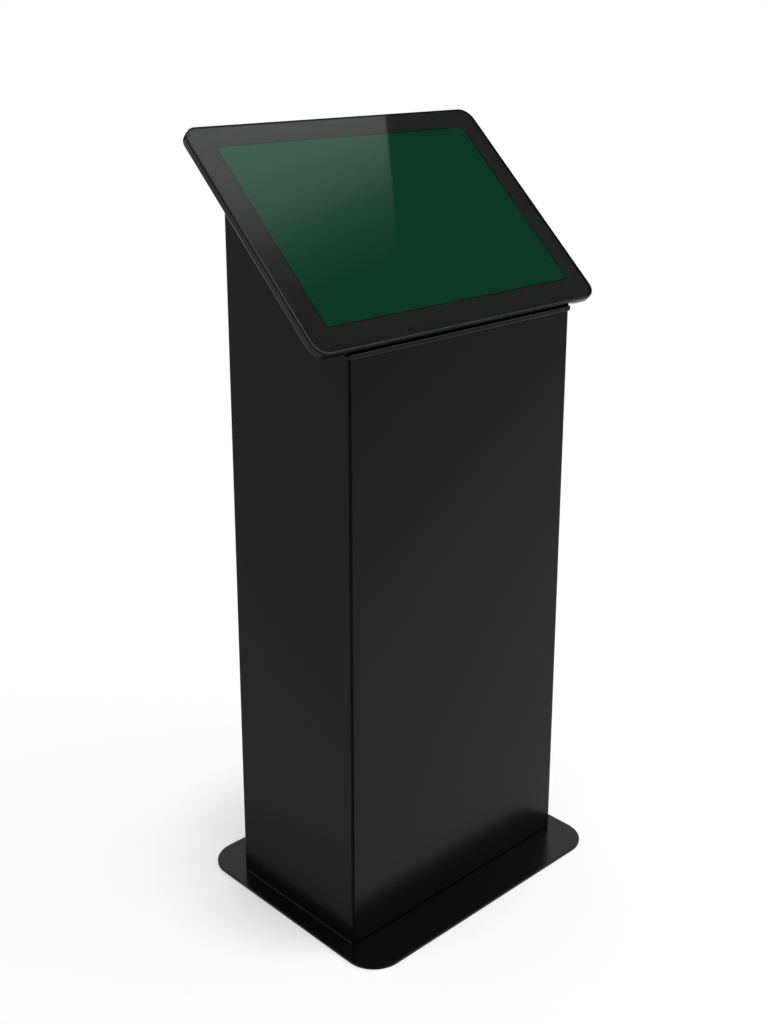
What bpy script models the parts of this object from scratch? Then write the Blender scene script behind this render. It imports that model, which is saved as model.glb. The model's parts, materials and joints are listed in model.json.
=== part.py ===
# A free-standing touchscreen kiosk: a tilted glass-fronted display on a folded sheet-metal column.
# Metres, +Z up. The user stands at -Y, +X is to the user's right, and the origin is on the floor under the base.

import math

import bmesh
import bpy
from mathutils import Matrix, Vector

# Fits and sheet metal
SEAT_GAP = 0.0003
SHEET = 0.002
BEND_RADIUS = 0.003
BEND_STEPS = 4

# Base
BASE_WIDTH = 0.490
BASE_DEPTH = 0.390
BASE_THICKNESS = 0.004
BASE_CORNER_RADIUS = 0.048
FLOOR_PAD_RADIUS = 0.018
FLOOR_PAD_THICKNESS = 0.001
FLOOR_PAD_INSET = 0.042
STUD_RADIUS = 0.004
STUD_LENGTH = 0.015
STUD_SETBACK = 0.018
STUD_SPACING = 0.150
NUT_ACROSS_CORNERS = 0.015
NUT_HEIGHT = 0.0065

# Column
COLUMN_WIDTH = 0.436
COLUMN_DEPTH = 0.254
FRONT_HEIGHT = 0.8772
FRONT_FLANGE = 0.025
REAR_FLANGE = 0.034
FOOT_FLANGE = 0.032
TOP_FLANGE = 0.022
FRONT_RETURN = 0.018
REAR_SEAM = 0.003
REAR_LAP = 0.015

# Service door
DOOR_BOTTOM = 0.150
DOOR_TOP = 0.850
DOOR_GAP = 0.002
DOOR_RETURN = 0.015
DOOR_STOP_WIDTH = 0.030
DOOR_STOP_OVERLAP = 0.012
LOUVRE_LENGTH = 0.110
LOUVRE_HEIGHT = 0.009
LOUVRE_DEPTH = 0.0055
LOUVRE_WALL = 0.0013
LOUVRE_PITCH = 0.018
LOUVRE_COLUMN_SPACING = 0.130
LOUVRE_ROWS = 6
LOUVRE_EDGE_DISTANCE = 0.050

# Door hinges
HINGE_HEIGHT = 0.060
HINGE_LEAF = 0.020
HINGE_LEAF_THICKNESS = 0.002
HINGE_KNUCKLE_RADIUS = 0.0045
HINGE_PIN_RADIUS = 0.002
HINGE_PIN_CLEARANCE = 0.0003
HINGE_KNUCKLE_GAP = 0.0005
HINGE_EDGE_DISTANCE = 0.090
HINGE_PIN_HEAD = 0.0015

# Cam lock
LOCK_EDGE_DISTANCE = 0.025
LOCK_FLANGE_RADIUS = 0.0115
LOCK_FLANGE_THICKNESS = 0.003
LOCK_BARREL_RADIUS = 0.009
LOCK_PLUG_RADIUS = 0.006
LOCK_CLEARANCE = 0.0003
LOCK_NUT_THICKNESS = 0.004
LOCK_TAIL_RADIUS = 0.0035
CAM_REACH = 0.042
CAM_WIDTH = 0.014
CAM_THICKNESS = 0.0023
CAM_NUT_THICKNESS = 0.0035
KEY_SLOT_WIDTH = 0.0012
KEY_SLOT_LENGTH = 0.0075
KEY_SLOT_DEPTH = 0.005
KEEPER_WIDTH = 0.024
KEEPER_HEIGHT = 0.030

# Power entry in the lower rear panel
INLET_X = 0.085
INLET_HEIGHT = 0.080
INLET_WIDTH = 0.0245
INLET_TALL = 0.0165
INLET_DEPTH = 0.016
INLET_WALL = 0.0018
INLET_FLANGE = 0.005
INLET_FLANGE_THICKNESS = 0.0025
INLET_PIN_WIDTH = 0.004
INLET_PIN_THICKNESS = 0.002
INLET_PIN_LENGTH = 0.0135
INLET_PIN_SPACING = 0.007
INLET_PIN_DROP = 0.002
SWITCH_X = 0.040
SWITCH_WIDTH = 0.0150
SWITCH_TALL = 0.0240
SWITCH_DEPTH = 0.016
ROCKER_TILT = math.radians(8)
ROCKER_RISE = 0.0015
ROCKER_PIVOT_DEPTH = 0.0040

# Display head, stacked on the sloping top of the column
HEAD_TILT = math.radians(43.6)
HEAD_WIDTH = 0.551
HEAD_LENGTH = 0.377
HEAD_CORNER_RADIUS = 0.022
HEAD_SETBACK = 0.0057
CASE_DEPTH = 0.0111
CASE_WALL = 0.004
CASE_FLOOR = 0.0012
CASE_EDGE_RADIUS = 0.0025
GLASS_GROOVE = 0.0012
GLASS_THICKNESS = 0.0028
GLASS_INSET = 0.0006
GASKET_WIDTH = 0.016
GASKET_SETBACK = 0.0018
LCD_SIDE_MARGIN = 0.0265
LCD_END_MARGIN = 0.0270
LCD_BRACKET_LENGTH = 0.200
CABLE_WINDOW_WIDTH = 0.180
CABLE_WINDOW_LENGTH = 0.110

# Support tray between the column and the head
TRAY_THICKNESS = 0.0021
TRAY_OVERHANG = 0.008
TRAY_LIP = 0.0030
TRAY_LEDGE = 0.0062
TRAY_CORNER_RADIUS = 0.009
TRAY_BEND_RADIUS = 0.0026

# Electronics under the tray
TUB_WIDTH = 0.260
TUB_LENGTH = 0.170
TUB_DEPTH = 0.036
TUB_FLANGE = 0.020
BOARD_THICKNESS = 0.0016
BOARD_MARGIN = 0.012
STANDOFF = 0.005
DRIVER_BOARD_SHARE = 0.58

# Equipment inside the column
SHELF_HEIGHT = 0.460
SHELF_FLANGE = 0.025
SHELF_FRONT_GAP = 0.008
SHELF_DEPTH = 0.215
PLAYER_WIDTH = 0.190
PLAYER_DEPTH = 0.160
PLAYER_HEIGHT = 0.042
PLAYER_X = -0.075
PLAYER_FINS = 15
PLAYER_FIN_HEIGHT = 0.014
SUPPLY_WIDTH = 0.070
SUPPLY_DEPTH = 0.165
SUPPLY_HEIGHT = 0.038
SUPPLY_X = 0.100
EQUIPMENT_Y = -0.010
BOX_EDGE_RADIUS = 0.003

# Places worked out from the sizes above
BASE_BOTTOM = FLOOR_PAD_THICKNESS
BASE_TOP = BASE_BOTTOM + BASE_THICKNESS
PANEL_BOTTOM = BASE_TOP + SEAT_GAP
FRONT_Y = -COLUMN_DEPTH / 2
REAR_Y = COLUMN_DEPTH / 2
SIDE_X = COLUMN_WIDTH / 2
FOLD_Y = FRONT_Y + SHEET + SEAT_GAP
REAR_OPENING = SIDE_X - REAR_FLANGE
DOOR_HALF = REAR_OPENING - DOOR_GAP
HINGE_X = REAR_OPENING - DOOR_GAP / 2
HINGE_Y = REAR_Y + SEAT_GAP + HINGE_KNUCKLE_RADIUS
LOCK_X = -(DOOR_HALF - LOCK_EDGE_DISTANCE)
LOCK_Z = (DOOR_BOTTOM + DOOR_TOP) / 2
LOCK_FACE = REAR_Y + SEAT_GAP
LOCK_INNER = REAR_Y - DOOR_RETURN
CAM_FACE = LOCK_INNER - SEAT_GAP
TRAY_LOW = SEAT_GAP
TRAY_HIGH = TRAY_LOW + TRAY_THICKNESS
CASE_LOW = TRAY_HIGH + SEAT_GAP
CASE_HIGH = CASE_LOW + CASE_DEPTH
GLASS_LOW = CASE_HIGH + GLASS_GROOVE
GLASS_HIGH = GLASS_LOW + GLASS_THICKNESS
HEAD_MIDDLE = HEAD_SETBACK + HEAD_LENGTH / 2
LCD_WIDTH = HEAD_WIDTH - 2 * LCD_SIDE_MARGIN
LCD_LENGTH = HEAD_LENGTH - 2 * LCD_END_MARGIN
SHELF_TOP = SHELF_HEIGHT + SHEET

BLACK_PAINT = ("black_powder_coat", (0.012, 0.012, 0.012), 0.42, 0.0)
BLACK_CASE = ("black_case_paint", (0.012, 0.012, 0.012), 0.38, 0.0)
SCREEN_GLASS = ("screen_glass", (0.010, 0.012, 0.012), 0.06, 0.0)
SCREEN_GREEN = ("lcd_screen", (0.004, 0.040, 0.022), 0.30, 0.0)
BLACK_RUBBER = ("black_rubber", (0.015, 0.015, 0.015), 0.85, 0.0)
BLACK_PLASTIC = ("black_plastic", (0.020, 0.020, 0.020), 0.45, 0.0)
BRIGHT_STEEL = ("bright_steel", (0.55, 0.55, 0.56), 0.30, 1.0)
GALVANISED = ("galvanised_sheet", (0.48, 0.49, 0.50), 0.45, 1.0)
BOARD_GREEN = ("circuit_board", (0.010, 0.090, 0.040), 0.50, 0.0)
ALUMINIUM = ("anodised_aluminium", (0.10, 0.10, 0.11), 0.40, 1.0)


# Outlines

def arc(centre, radius, start, end, steps):
    """Points on a circle from one angle to another, both ends included."""
    angles = [start + (end - start) * i / steps for i in range(steps + 1)]
    return [(centre[0] + radius * math.cos(a), centre[1] + radius * math.sin(a)) for a in angles]


def rectangle(low_x, low_y, high_x, high_y):
    return [(low_x, low_y), (high_x, low_y), (high_x, high_y), (low_x, high_y)]


def rounded_rectangle(width, length, radius, centre=(0, 0), steps=8):
    """Counter-clockwise outline with a quarter circle at each corner."""
    points = []
    corners = ((1, 1), (-1, 1), (-1, -1), (1, -1))
    for turn, (side_x, side_y) in enumerate(corners):
        middle = (centre[0] + side_x * (width / 2 - radius), centre[1] + side_y * (length / 2 - radius))
        points += arc(middle, radius, turn * math.pi / 2, (turn + 1) * math.pi / 2, steps)
    return points


def circle(centre, radius, sides):
    return arc(centre, radius, 0, math.tau, sides)[:-1]


def offset_path(path, distance):
    """The open path moved to its left by a distance, with mitred corners."""
    points = [Vector(p) for p in path]
    directions = [(b - a).normalized() for a, b in zip(points, points[1:])]
    normals = [Vector((-d.y, d.x)) for d in directions]
    moved = [points[0] + normals[0] * distance]
    for point, before, after in zip(points[1:], normals, normals[1:]):
        moved.append(point + (before + after) * distance / (1 + before.dot(after)))
    moved.append(points[-1] + normals[-1] * distance)
    return [tuple(p) for p in moved]


def rounded_path(path, radius):
    """The open path with each inner corner turned into an arc of that radius."""
    points = [Vector(p) for p in path]
    rounded = [tuple(points[0])]
    for before, corner, after in zip(points, points[1:], points[2:]):
        back = (before - corner).normalized()
        ahead = (after - corner).normalized()
        half = back.angle(ahead) / 2
        middle = corner + (back + ahead).normalized() * radius / math.sin(half)
        first = corner + back * radius / math.tan(half) - middle
        turn = (math.pi - 2 * half) * (1 if back.cross(ahead) < 0 else -1)
        start = math.atan2(first.y, first.x)
        rounded += arc(middle, radius, start, start + turn, BEND_STEPS)
    return rounded + [tuple(points[-1])]


def folded_sheet(path, thickness, bend_radius):
    """Outline of a sheet folded along a path that turns only to the left. The path is its outer face."""
    outer = rounded_path(path, bend_radius)
    inner = rounded_path(offset_path(path, thickness), max(bend_radius - thickness, thickness / 4))
    return outer + inner[::-1]


# Solids

def prism(outline, low, high, axis):
    """A closed prism. The outline lies in XY for axis Z, in XZ for axis Y and in YZ for axis X."""
    place = {
        "X": lambda a, b, h: (h, a, b),
        "Y": lambda a, b, h: (a, h, b),
        "Z": lambda a, b, h: (a, b, h),
    }[axis]
    mesh = bmesh.new()
    bottom = [mesh.verts.new(place(a, b, low)) for a, b in outline]
    top = [mesh.verts.new(place(a, b, high)) for a, b in outline]
    mesh.faces.new(bottom)
    mesh.faces.new(top)
    for i in range(len(outline)):
        j = (i + 1) % len(outline)
        mesh.faces.new((bottom[i], bottom[j], top[j], top[i]))
    bmesh.ops.recalc_face_normals(mesh, faces=mesh.faces)
    return mesh


def box(low, high):
    return prism(rectangle(low[0], low[1], high[0], high[1]), low[2], high[2], "Z")


def ring(outer, inner, low, high, axis):
    """A prism with a hole: two outlines with equally many points, bridged at both ends."""
    place = {
        "Y": lambda a, b, h: (a, h, b),
        "Z": lambda a, b, h: (a, b, h),
    }[axis]
    mesh = bmesh.new()
    loops = []
    for outline, height in ((outer, low), (outer, high), (inner, high), (inner, low)):
        loops.append([mesh.verts.new(place(a, b, height)) for a, b in outline])
    for first, second in zip(loops, loops[1:] + loops[:1]):
        for i in range(len(first)):
            j = (i + 1) % len(first)
            mesh.faces.new((first[i], first[j], second[j], second[i]))
    bmesh.ops.recalc_face_normals(mesh, faces=mesh.faces)
    return mesh


def rounded_box(low, high, radius):
    """A box with its upright edges rounded and its top edges chamfered to match."""
    width, depth = high[0] - low[0], high[1] - low[1]
    centre = ((low[0] + high[0]) / 2, (low[1] + high[1]) / 2)
    mesh = prism(rounded_rectangle(width, depth, radius, centre, 3), low[2], high[2], "Z")
    rim = [e for e in mesh.edges if all(v.co.z > high[2] - SEAT_GAP for v in e.verts)]
    bmesh.ops.bevel(mesh, geom=rim, offset=radius / 2, segments=2, profile=0.5, affect="EDGES")
    bmesh.ops.recalc_face_normals(mesh, faces=mesh.faces)
    return mesh


def joined(solids):
    """Several separate solids in one mesh, to be used as one cutter."""
    total = bmesh.new()
    for solid in solids:
        part = bpy.data.meshes.new("part")
        solid.to_mesh(part)
        solid.free()
        total.from_mesh(part)
        bpy.data.meshes.remove(part)
    return total


def temporary_object(mesh):
    data = bpy.data.meshes.new("operand")
    mesh.to_mesh(data)
    mesh.free()
    operand = bpy.data.objects.new("operand", data)
    bpy.context.scene.collection.objects.link(operand)
    return operand


def boolean(first, second, operation):
    """The union, difference or intersection of two closed meshes, as a new mesh."""
    base, tool = temporary_object(first), temporary_object(second)
    modifier = base.modifiers.new("combine", "BOOLEAN")
    modifier.operation = operation
    modifier.solver = "EXACT"
    modifier.object = tool
    evaluated = base.evaluated_get(bpy.context.evaluated_depsgraph_get())
    result = bmesh.new()
    result.from_mesh(evaluated.to_mesh())
    evaluated.to_mesh_clear()
    for operand in (base, tool):
        data = operand.data
        bpy.data.objects.remove(operand)
        bpy.data.meshes.remove(data)
    return result


def union(*solids):
    result = solids[0]
    for solid in solids[1:]:
        result = boolean(result, solid, "UNION")
    return result


def cut(solid, cutter):
    return boolean(solid, cutter, "DIFFERENCE")


# Objects

def paint(finish):
    """The Principled material of a finish, made once."""
    name, colour, roughness, metallic = finish
    material = bpy.data.materials.get(name)
    if material is None:
        material = bpy.data.materials.new(name)
        material.use_nodes = True
        shader = material.node_tree.nodes["Principled BSDF"]
        shader.inputs["Base Color"].default_value = (*colour, 1.0)
        shader.inputs["Roughness"].default_value = roughness
        shader.inputs["Metallic"].default_value = metallic
        material.diffuse_color = (*colour, 1.0)
    return material


def add(name, mesh, finish, parent=None, in_parent_frame=False):
    """Makes the named object. The mesh is in world coordinates unless it is already in its parent's frame."""
    if parent is not None and not in_parent_frame:
        mesh.transform(parent.matrix_world.inverted())
    data = bpy.data.meshes.new(name)
    mesh.to_mesh(data)
    mesh.free()
    data.materials.append(paint(finish))
    data.shade_smooth()
    data.set_sharp_from_angle(angle=math.radians(30))
    made = bpy.data.objects.new(name, data)
    bpy.context.scene.collection.objects.link(made)
    made.parent = parent
    return made


def add_frame(name, location, tilt=0.0, parent=None):
    """An empty that carries the pieces of a moving or tilted group."""
    frame = bpy.data.objects.new(name, None)
    bpy.context.scene.collection.objects.link(frame)
    world = Matrix.Translation(location) @ Matrix.Rotation(tilt, 4, "X")
    frame.parent = parent
    bpy.context.view_layer.update()
    frame.matrix_world = world
    bpy.context.view_layer.update()
    return frame


def slope_height(y, below=0.0):
    """Height at depth y of a plane parallel to the column's sloping top, a distance below it."""
    return FRONT_HEIGHT + (y - FRONT_Y) * math.tan(HEAD_TILT) - below / math.cos(HEAD_TILT)


def above_slope(below=0.0):
    """A wedge that covers everything above the slope, for trimming the panels."""
    near, far = FRONT_Y - COLUMN_DEPTH, REAR_Y + COLUMN_DEPTH
    high = slope_height(far) + COLUMN_DEPTH
    outline = [(near, slope_height(near, below)), (far, slope_height(far, below)), (far, high), (near, high)]
    return prism(outline, -COLUMN_WIDTH, COLUMN_WIDTH, "X")


# Base

def build_base():
    plate = prism(
        rounded_rectangle(BASE_WIDTH, BASE_DEPTH, BASE_CORNER_RADIUS, steps=12), BASE_BOTTOM, BASE_TOP, "Z")
    places = [(x, y) for x in (-1, 1) for y in (-1, 1)]
    for number, (side, end) in enumerate(places, 1):
        stud_place = stud_centre(side, end)
        stud = prism(
            circle(stud_place, STUD_RADIUS, 16), BASE_TOP - BASE_THICKNESS / 2, BASE_TOP + STUD_LENGTH, "Z")
        plate = union(plate, stud)
        pad_place = (side * (BASE_WIDTH / 2 - FLOOR_PAD_INSET), end * (BASE_DEPTH / 2 - FLOOR_PAD_INSET))
        pad = prism(circle(pad_place, FLOOR_PAD_RADIUS, 24), 0, BASE_BOTTOM - SEAT_GAP, "Z")
        add(f"floor_pad_{number}", pad, BLACK_RUBBER)
        nut_low = PANEL_BOTTOM + SHEET + SEAT_GAP
        hexagon = circle(stud_place, NUT_ACROSS_CORNERS / 2, 6)
        nut = cut(
            prism(hexagon, nut_low, nut_low + NUT_HEIGHT, "Z"),
            prism(circle(stud_place, STUD_RADIUS + SEAT_GAP, 16), 0, nut_low + 2 * NUT_HEIGHT, "Z"))
        add(f"foot_nut_{number}", nut, BRIGHT_STEEL)
    add("base_plate", plate, BLACK_PAINT)


def stud_centre(side, end):
    return (side * (SIDE_X - STUD_SETBACK), end * STUD_SPACING / 2)


# Column

def build_side_panel(name, side):
    """A folded channel with a sloping top, and flanges for the base, the front panel, the rear and the tray."""
    path = [
        (side * (SIDE_X - FRONT_FLANGE), FOLD_Y),
        (side * SIDE_X, FOLD_Y),
        (side * SIDE_X, REAR_Y),
        (side * (SIDE_X - REAR_FLANGE), REAR_Y),
    ]
    if side < 0:
        path = path[::-1]
    highest = slope_height(REAR_Y) + COLUMN_DEPTH / 2
    channel = prism(folded_sheet(path, SHEET, BEND_RADIUS), PANEL_BOTTOM, highest, "Z")
    inside = side * (SIDE_X - SHEET / 2)
    near, far = FOLD_Y + SHEET / 2, REAR_Y - SHEET / 2
    foot_edge = side * (SIDE_X - FOOT_FLANGE)
    foot_far = REAR_Y - 3 * SHEET
    foot = box(
        (min(inside, foot_edge), near, PANEL_BOTTOM), (max(inside, foot_edge), foot_far, PANEL_BOTTOM + SHEET))
    top_edge = side * (SIDE_X - TOP_FLANGE)
    top_outline = [
        (near, slope_height(near, SHEET)),
        (far, slope_height(far, SHEET)),
        (far, slope_height(far, -SHEET)),
        (near, slope_height(near, -SHEET)),
    ]
    top = prism(top_outline, min(inside, top_edge), max(inside, top_edge), "X")
    panel = cut(union(channel, foot, top), above_slope())
    holes = [
        prism(circle(stud_centre(side, end), STUD_RADIUS + SEAT_GAP, 16), 0, PANEL_BOTTOM + 2 * SHEET, "Z")
        for end in (-1, 1)
    ]
    add(name, cut(panel, joined(holes)), BLACK_PAINT)


def build_front_panel():
    """A flat cover plate over the side panels' front flanges, with narrower returns at its top and bottom."""
    high = FRONT_HEIGHT - SEAT_GAP
    plate = box((-SIDE_X, FRONT_Y, PANEL_BOTTOM), (SIDE_X, FRONT_Y + SHEET, high))
    half = SIDE_X - FRONT_FLANGE - SHEET
    inner = FRONT_Y + SHEET / 2
    returns = [
        box((-half, inner, low), (half, FRONT_Y + FRONT_RETURN, low + SHEET))
        for low in (PANEL_BOTTOM + 2 * SHEET, high - 2 * SHEET)
    ]
    add("front_panel", union(plate, *returns), BLACK_PAINT)


def rear_panel_outline():
    """Section of a rear panel: flush with the column's back, joggled in to lap behind the side flanges."""
    step = SHEET + SEAT_GAP
    face = REAR_OPENING - REAR_SEAM
    lap = REAR_OPENING + REAR_LAP
    path = [
        (lap, REAR_Y - step),
        (face + step, REAR_Y - step),
        (face, REAR_Y),
        (-face, REAR_Y),
        (-face - step, REAR_Y - step),
        (-lap, REAR_Y - step),
    ]
    return path + offset_path(path, SHEET)[::-1]


def build_rear_panels():
    upper_top = slope_height(REAR_Y - 2 * SHEET - 2 * SEAT_GAP, SHEET)
    upper = prism(rear_panel_outline(), DOOR_TOP + DOOR_GAP, upper_top, "Z")
    add("rear_upper_panel", upper, BLACK_PAINT)
    lower = prism(rear_panel_outline(), PANEL_BOTTOM, DOOR_BOTTOM - DOOR_GAP, "Z")
    openings = [power_cutter(INLET_X, inlet_outer()), power_cutter(SWITCH_X, switch_outer())]
    add("rear_lower_panel", cut(lower, joined(openings)), BLACK_PAINT)
    stop_left = -(DOOR_HALF - 3 * SHEET)
    stop_right = HINGE_X - (HINGE_Y - REAR_Y + DOOR_RETURN) - 2 * SHEET
    stop_back = REAR_Y - SHEET - SEAT_GAP
    stops = {
        "upper_door_stop": DOOR_TOP - DOOR_STOP_OVERLAP,
        "lower_door_stop": DOOR_BOTTOM + DOOR_STOP_OVERLAP - DOOR_STOP_WIDTH,
    }
    for name, low in stops.items():
        strip = box((stop_left, stop_back - SHEET, low), (stop_right, stop_back, low + DOOR_STOP_WIDTH))
        add(name, strip, BLACK_PAINT)


# Service door

def louvre(x, z):
    """The hood of one louvre and the space under it, which opens downwards and through the door."""
    def curve(depth, height):
        angles = [i * math.pi / 12 for i in range(7)]
        return [(REAR_Y + depth * math.cos(a), z + height * math.sin(a)) for a in angles]

    half = LOUVRE_LENGTH / 2
    buried, through, lip = REAR_Y - SHEET / 2, REAR_Y - 2 * SHEET, REAR_Y + SEAT_GAP
    hood = [(buried, z), *curve(LOUVRE_DEPTH, LOUVRE_HEIGHT), (buried, z + LOUVRE_HEIGHT)]
    depth, height = LOUVRE_DEPTH - LOUVRE_WALL, LOUVRE_HEIGHT - LOUVRE_WALL
    mouth = [(through, z), (lip, z), (lip, z - LOUVRE_WALL), (REAR_Y + depth, z - LOUVRE_WALL)]
    void = [*mouth, *curve(depth, height), (through, z + height)]
    inner = half - LOUVRE_WALL
    return prism(hood, x - half, x + half, "X"), prism(void, x - inner, x + inner, "X")


def louvre_places():
    for field_low in (
        DOOR_BOTTOM + LOUVRE_EDGE_DISTANCE,
        DOOR_TOP - LOUVRE_EDGE_DISTANCE - LOUVRE_ROWS * LOUVRE_PITCH,
    ):
        for row in range(LOUVRE_ROWS):
            for side in (-1, 1):
                yield side * LOUVRE_COLUMN_SPACING / 2, field_low + row * LOUVRE_PITCH


def build_door(hinge_frame):
    path = [
        (DOOR_HALF, REAR_Y - DOOR_RETURN),
        (DOOR_HALF, REAR_Y),
        (-DOOR_HALF, REAR_Y),
        (-DOOR_HALF, REAR_Y - DOOR_RETURN),
    ]
    door = prism(folded_sheet(path, SHEET, BEND_RADIUS), DOOR_BOTTOM, DOOR_TOP, "Z")
    hoods, voids = zip(*(louvre(x, z) for x, z in louvre_places()))
    lock_hole = prism(
        circle((LOCK_X, LOCK_Z), LOCK_BARREL_RADIUS + LOCK_CLEARANCE, 24), REAR_Y - 2 * SHEET, LOCK_FACE, "Y")
    door = cut(union(door, joined(hoods)), joined([*voids, lock_hole]))
    add("service_door", door, BLACK_PAINT, hinge_frame)


def hinge_leaf(side, low, knuckles):
    """A leaf on the given side of the pin, rolled into knuckles between the given heights."""
    back = REAR_Y + SEAT_GAP
    clear = HINGE_KNUCKLE_RADIUS + HINGE_KNUCKLE_GAP
    near, far = HINGE_X + side * clear, HINGE_X + side * HINGE_LEAF
    leaf = box(
        (min(near, far), back, low),
        (max(near, far), back + HINGE_LEAF_THICKNESS, low + HINGE_HEIGHT))
    bores = []
    for start, end in knuckles:
        knuckle = prism(circle((HINGE_X, HINGE_Y), HINGE_KNUCKLE_RADIUS, 20), start, end, "Z")
        inner = HINGE_X + side * HINGE_PIN_RADIUS
        outer = HINGE_X + side * (clear + HINGE_LEAF_THICKNESS)
        tongue = box(
            (min(inner, outer), back, start), (max(inner, outer), back + HINGE_LEAF_THICKNESS, end))
        leaf = union(leaf, tongue, knuckle)
        bores.append(prism(
            circle((HINGE_X, HINGE_Y), HINGE_PIN_RADIUS + HINGE_PIN_CLEARANCE, 16),
            low - HINGE_HEIGHT, low + 2 * HINGE_HEIGHT, "Z"))
    return cut(leaf, bores[0])


def build_hinge(name, low, hinge_frame):
    third = HINGE_HEIGHT / 3
    gap = HINGE_KNUCKLE_GAP
    frame_knuckles = [(low, low + third - gap), (low + 2 * third + gap, low + HINGE_HEIGHT)]
    door_knuckles = [(low + third, low + 2 * third)]
    add(f"{name}_hinge_frame_leaf", hinge_leaf(1, low, frame_knuckles), BLACK_PAINT)
    add(f"{name}_hinge_door_leaf", hinge_leaf(-1, low, door_knuckles), BLACK_PAINT, hinge_frame)
    pin = prism(circle((HINGE_X, HINGE_Y), HINGE_PIN_RADIUS, 16), low, low + HINGE_HEIGHT + SEAT_GAP, "Z")
    head_low = low + HINGE_HEIGHT + SEAT_GAP
    head = prism(
        circle((HINGE_X, HINGE_Y), HINGE_KNUCKLE_RADIUS, 20),
        head_low - SEAT_GAP / 3, head_low + HINGE_PIN_HEAD, "Z")
    add(f"{name}_hinge_pin", union(pin, head), BRIGHT_STEEL)


# Cam lock

def lock_circle(radius, sides=24):
    return circle((LOCK_X, LOCK_Z), radius, sides)


def build_lock(hinge_frame, lock_frame):
    bore = LOCK_PLUG_RADIUS + LOCK_CLEARANCE
    front = LOCK_FACE + LOCK_FLANGE_THICKNESS
    barrel = ring(lock_circle(LOCK_BARREL_RADIUS), lock_circle(bore), LOCK_INNER, LOCK_FACE, "Y")
    flange = ring(lock_circle(LOCK_FLANGE_RADIUS), lock_circle(bore), LOCK_FACE, front, "Y")
    add("lock_body", union(barrel, flange), BRIGHT_STEEL, hinge_frame)
    nut_high = REAR_Y - SHEET - SEAT_GAP
    nut = cut(
        prism(lock_circle(LOCK_FLANGE_RADIUS + SHEET, 6), nut_high - LOCK_NUT_THICKNESS, nut_high, "Y"),
        prism(lock_circle(LOCK_BARREL_RADIUS + LOCK_CLEARANCE), LOCK_INNER, REAR_Y, "Y"))
    add("lock_nut", nut, BRIGHT_STEEL, hinge_frame)
    cam_back = CAM_FACE - CAM_THICKNESS
    nut_back = cam_back - SEAT_GAP - CAM_NUT_THICKNESS
    plug = union(
        prism(lock_circle(LOCK_PLUG_RADIUS), LOCK_INNER, front, "Y"),
        prism(lock_circle(LOCK_TAIL_RADIUS, 16), nut_back - SHEET, LOCK_INNER + SHEET, "Y"))
    slot = box(
        (LOCK_X - KEY_SLOT_WIDTH / 2, front - KEY_SLOT_DEPTH, LOCK_Z - KEY_SLOT_LENGTH / 2),
        (LOCK_X + KEY_SLOT_WIDTH / 2, front + KEY_SLOT_DEPTH, LOCK_Z + KEY_SLOT_LENGTH / 2))
    add("lock_plug", cut(plug, slot), BRIGHT_STEEL, lock_frame)
    half = CAM_WIDTH / 2
    outline = arc((LOCK_X, LOCK_Z), half, 0, math.pi, 12)
    outline += arc((LOCK_X, LOCK_Z - CAM_REACH + half), half, math.pi, math.tau, 12)
    tail_hole = LOCK_TAIL_RADIUS + LOCK_CLEARANCE
    cam = cut(
        prism(outline, cam_back, CAM_FACE, "Y"),
        prism(lock_circle(tail_hole, 16), cam_back - SHEET, REAR_Y, "Y"))
    add("lock_cam", cam, BRIGHT_STEEL, lock_frame)
    cam_nut = cut(
        prism(lock_circle(2 * LOCK_TAIL_RADIUS, 6), nut_back, cam_back - SEAT_GAP, "Y"),
        prism(lock_circle(tail_hole, 16), nut_back - SHEET, REAR_Y, "Y"))
    add("cam_nut", cam_nut, BRIGHT_STEEL, lock_frame)


def build_lock_keeper():
    """A folded strip on the inside of the side panel's rear flange, which the turned cam catches behind."""
    outer = -(SIDE_X - SHEET - SEAT_GAP)
    inner = outer + KEEPER_WIDTH
    seat = REAR_Y - SHEET - SEAT_GAP
    catch = CAM_FACE + SHEET / 2
    path = [
        (outer, seat),
        (outer, catch),
        (inner, catch),
        (inner, seat),
    ]
    keeper = prism(
        folded_sheet(path, SHEET, BEND_RADIUS), LOCK_Z - KEEPER_HEIGHT / 2, LOCK_Z + KEEPER_HEIGHT / 2, "Z")
    add("lock_keeper", keeper, GALVANISED)


# Power entry

def inlet_outer():
    return (INLET_WIDTH / 2 + INLET_WALL, INLET_TALL / 2 + INLET_WALL)


def switch_outer():
    return (SWITCH_WIDTH / 2 + INLET_WALL, SWITCH_TALL / 2 + INLET_WALL)


def power_cutter(x, half):
    """The panel opening that a socket or switch body passes through."""
    return box(
        (x - half[0] - SEAT_GAP, REAR_Y - 4 * SHEET, INLET_HEIGHT - half[1] - SEAT_GAP),
        (x + half[0] + SEAT_GAP, REAR_Y + SHEET, INLET_HEIGHT + half[1] + SEAT_GAP))


def power_housing(x, half, depth, cavity):
    """A snap-in housing: a flange on the panel's outside, a body through it, and a cavity open to the rear."""
    back = REAR_Y + SEAT_GAP
    front = back + INLET_FLANGE_THICKNESS
    centre = (x, INLET_HEIGHT)
    flange = prism(
        rounded_rectangle(2 * (half[0] + INLET_FLANGE), 2 * (half[1] + INLET_FLANGE), INLET_FLANGE, centre, 4),
        back, front, "Y")
    body = prism(
        rectangle(x - half[0], INLET_HEIGHT - half[1], x + half[0], INLET_HEIGHT + half[1]),
        front - depth - INLET_WALL, back + SEAT_GAP, "Y")
    hollow = prism(cavity, front - depth, front + depth, "Y")
    return cut(union(flange, body), hollow)


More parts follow.
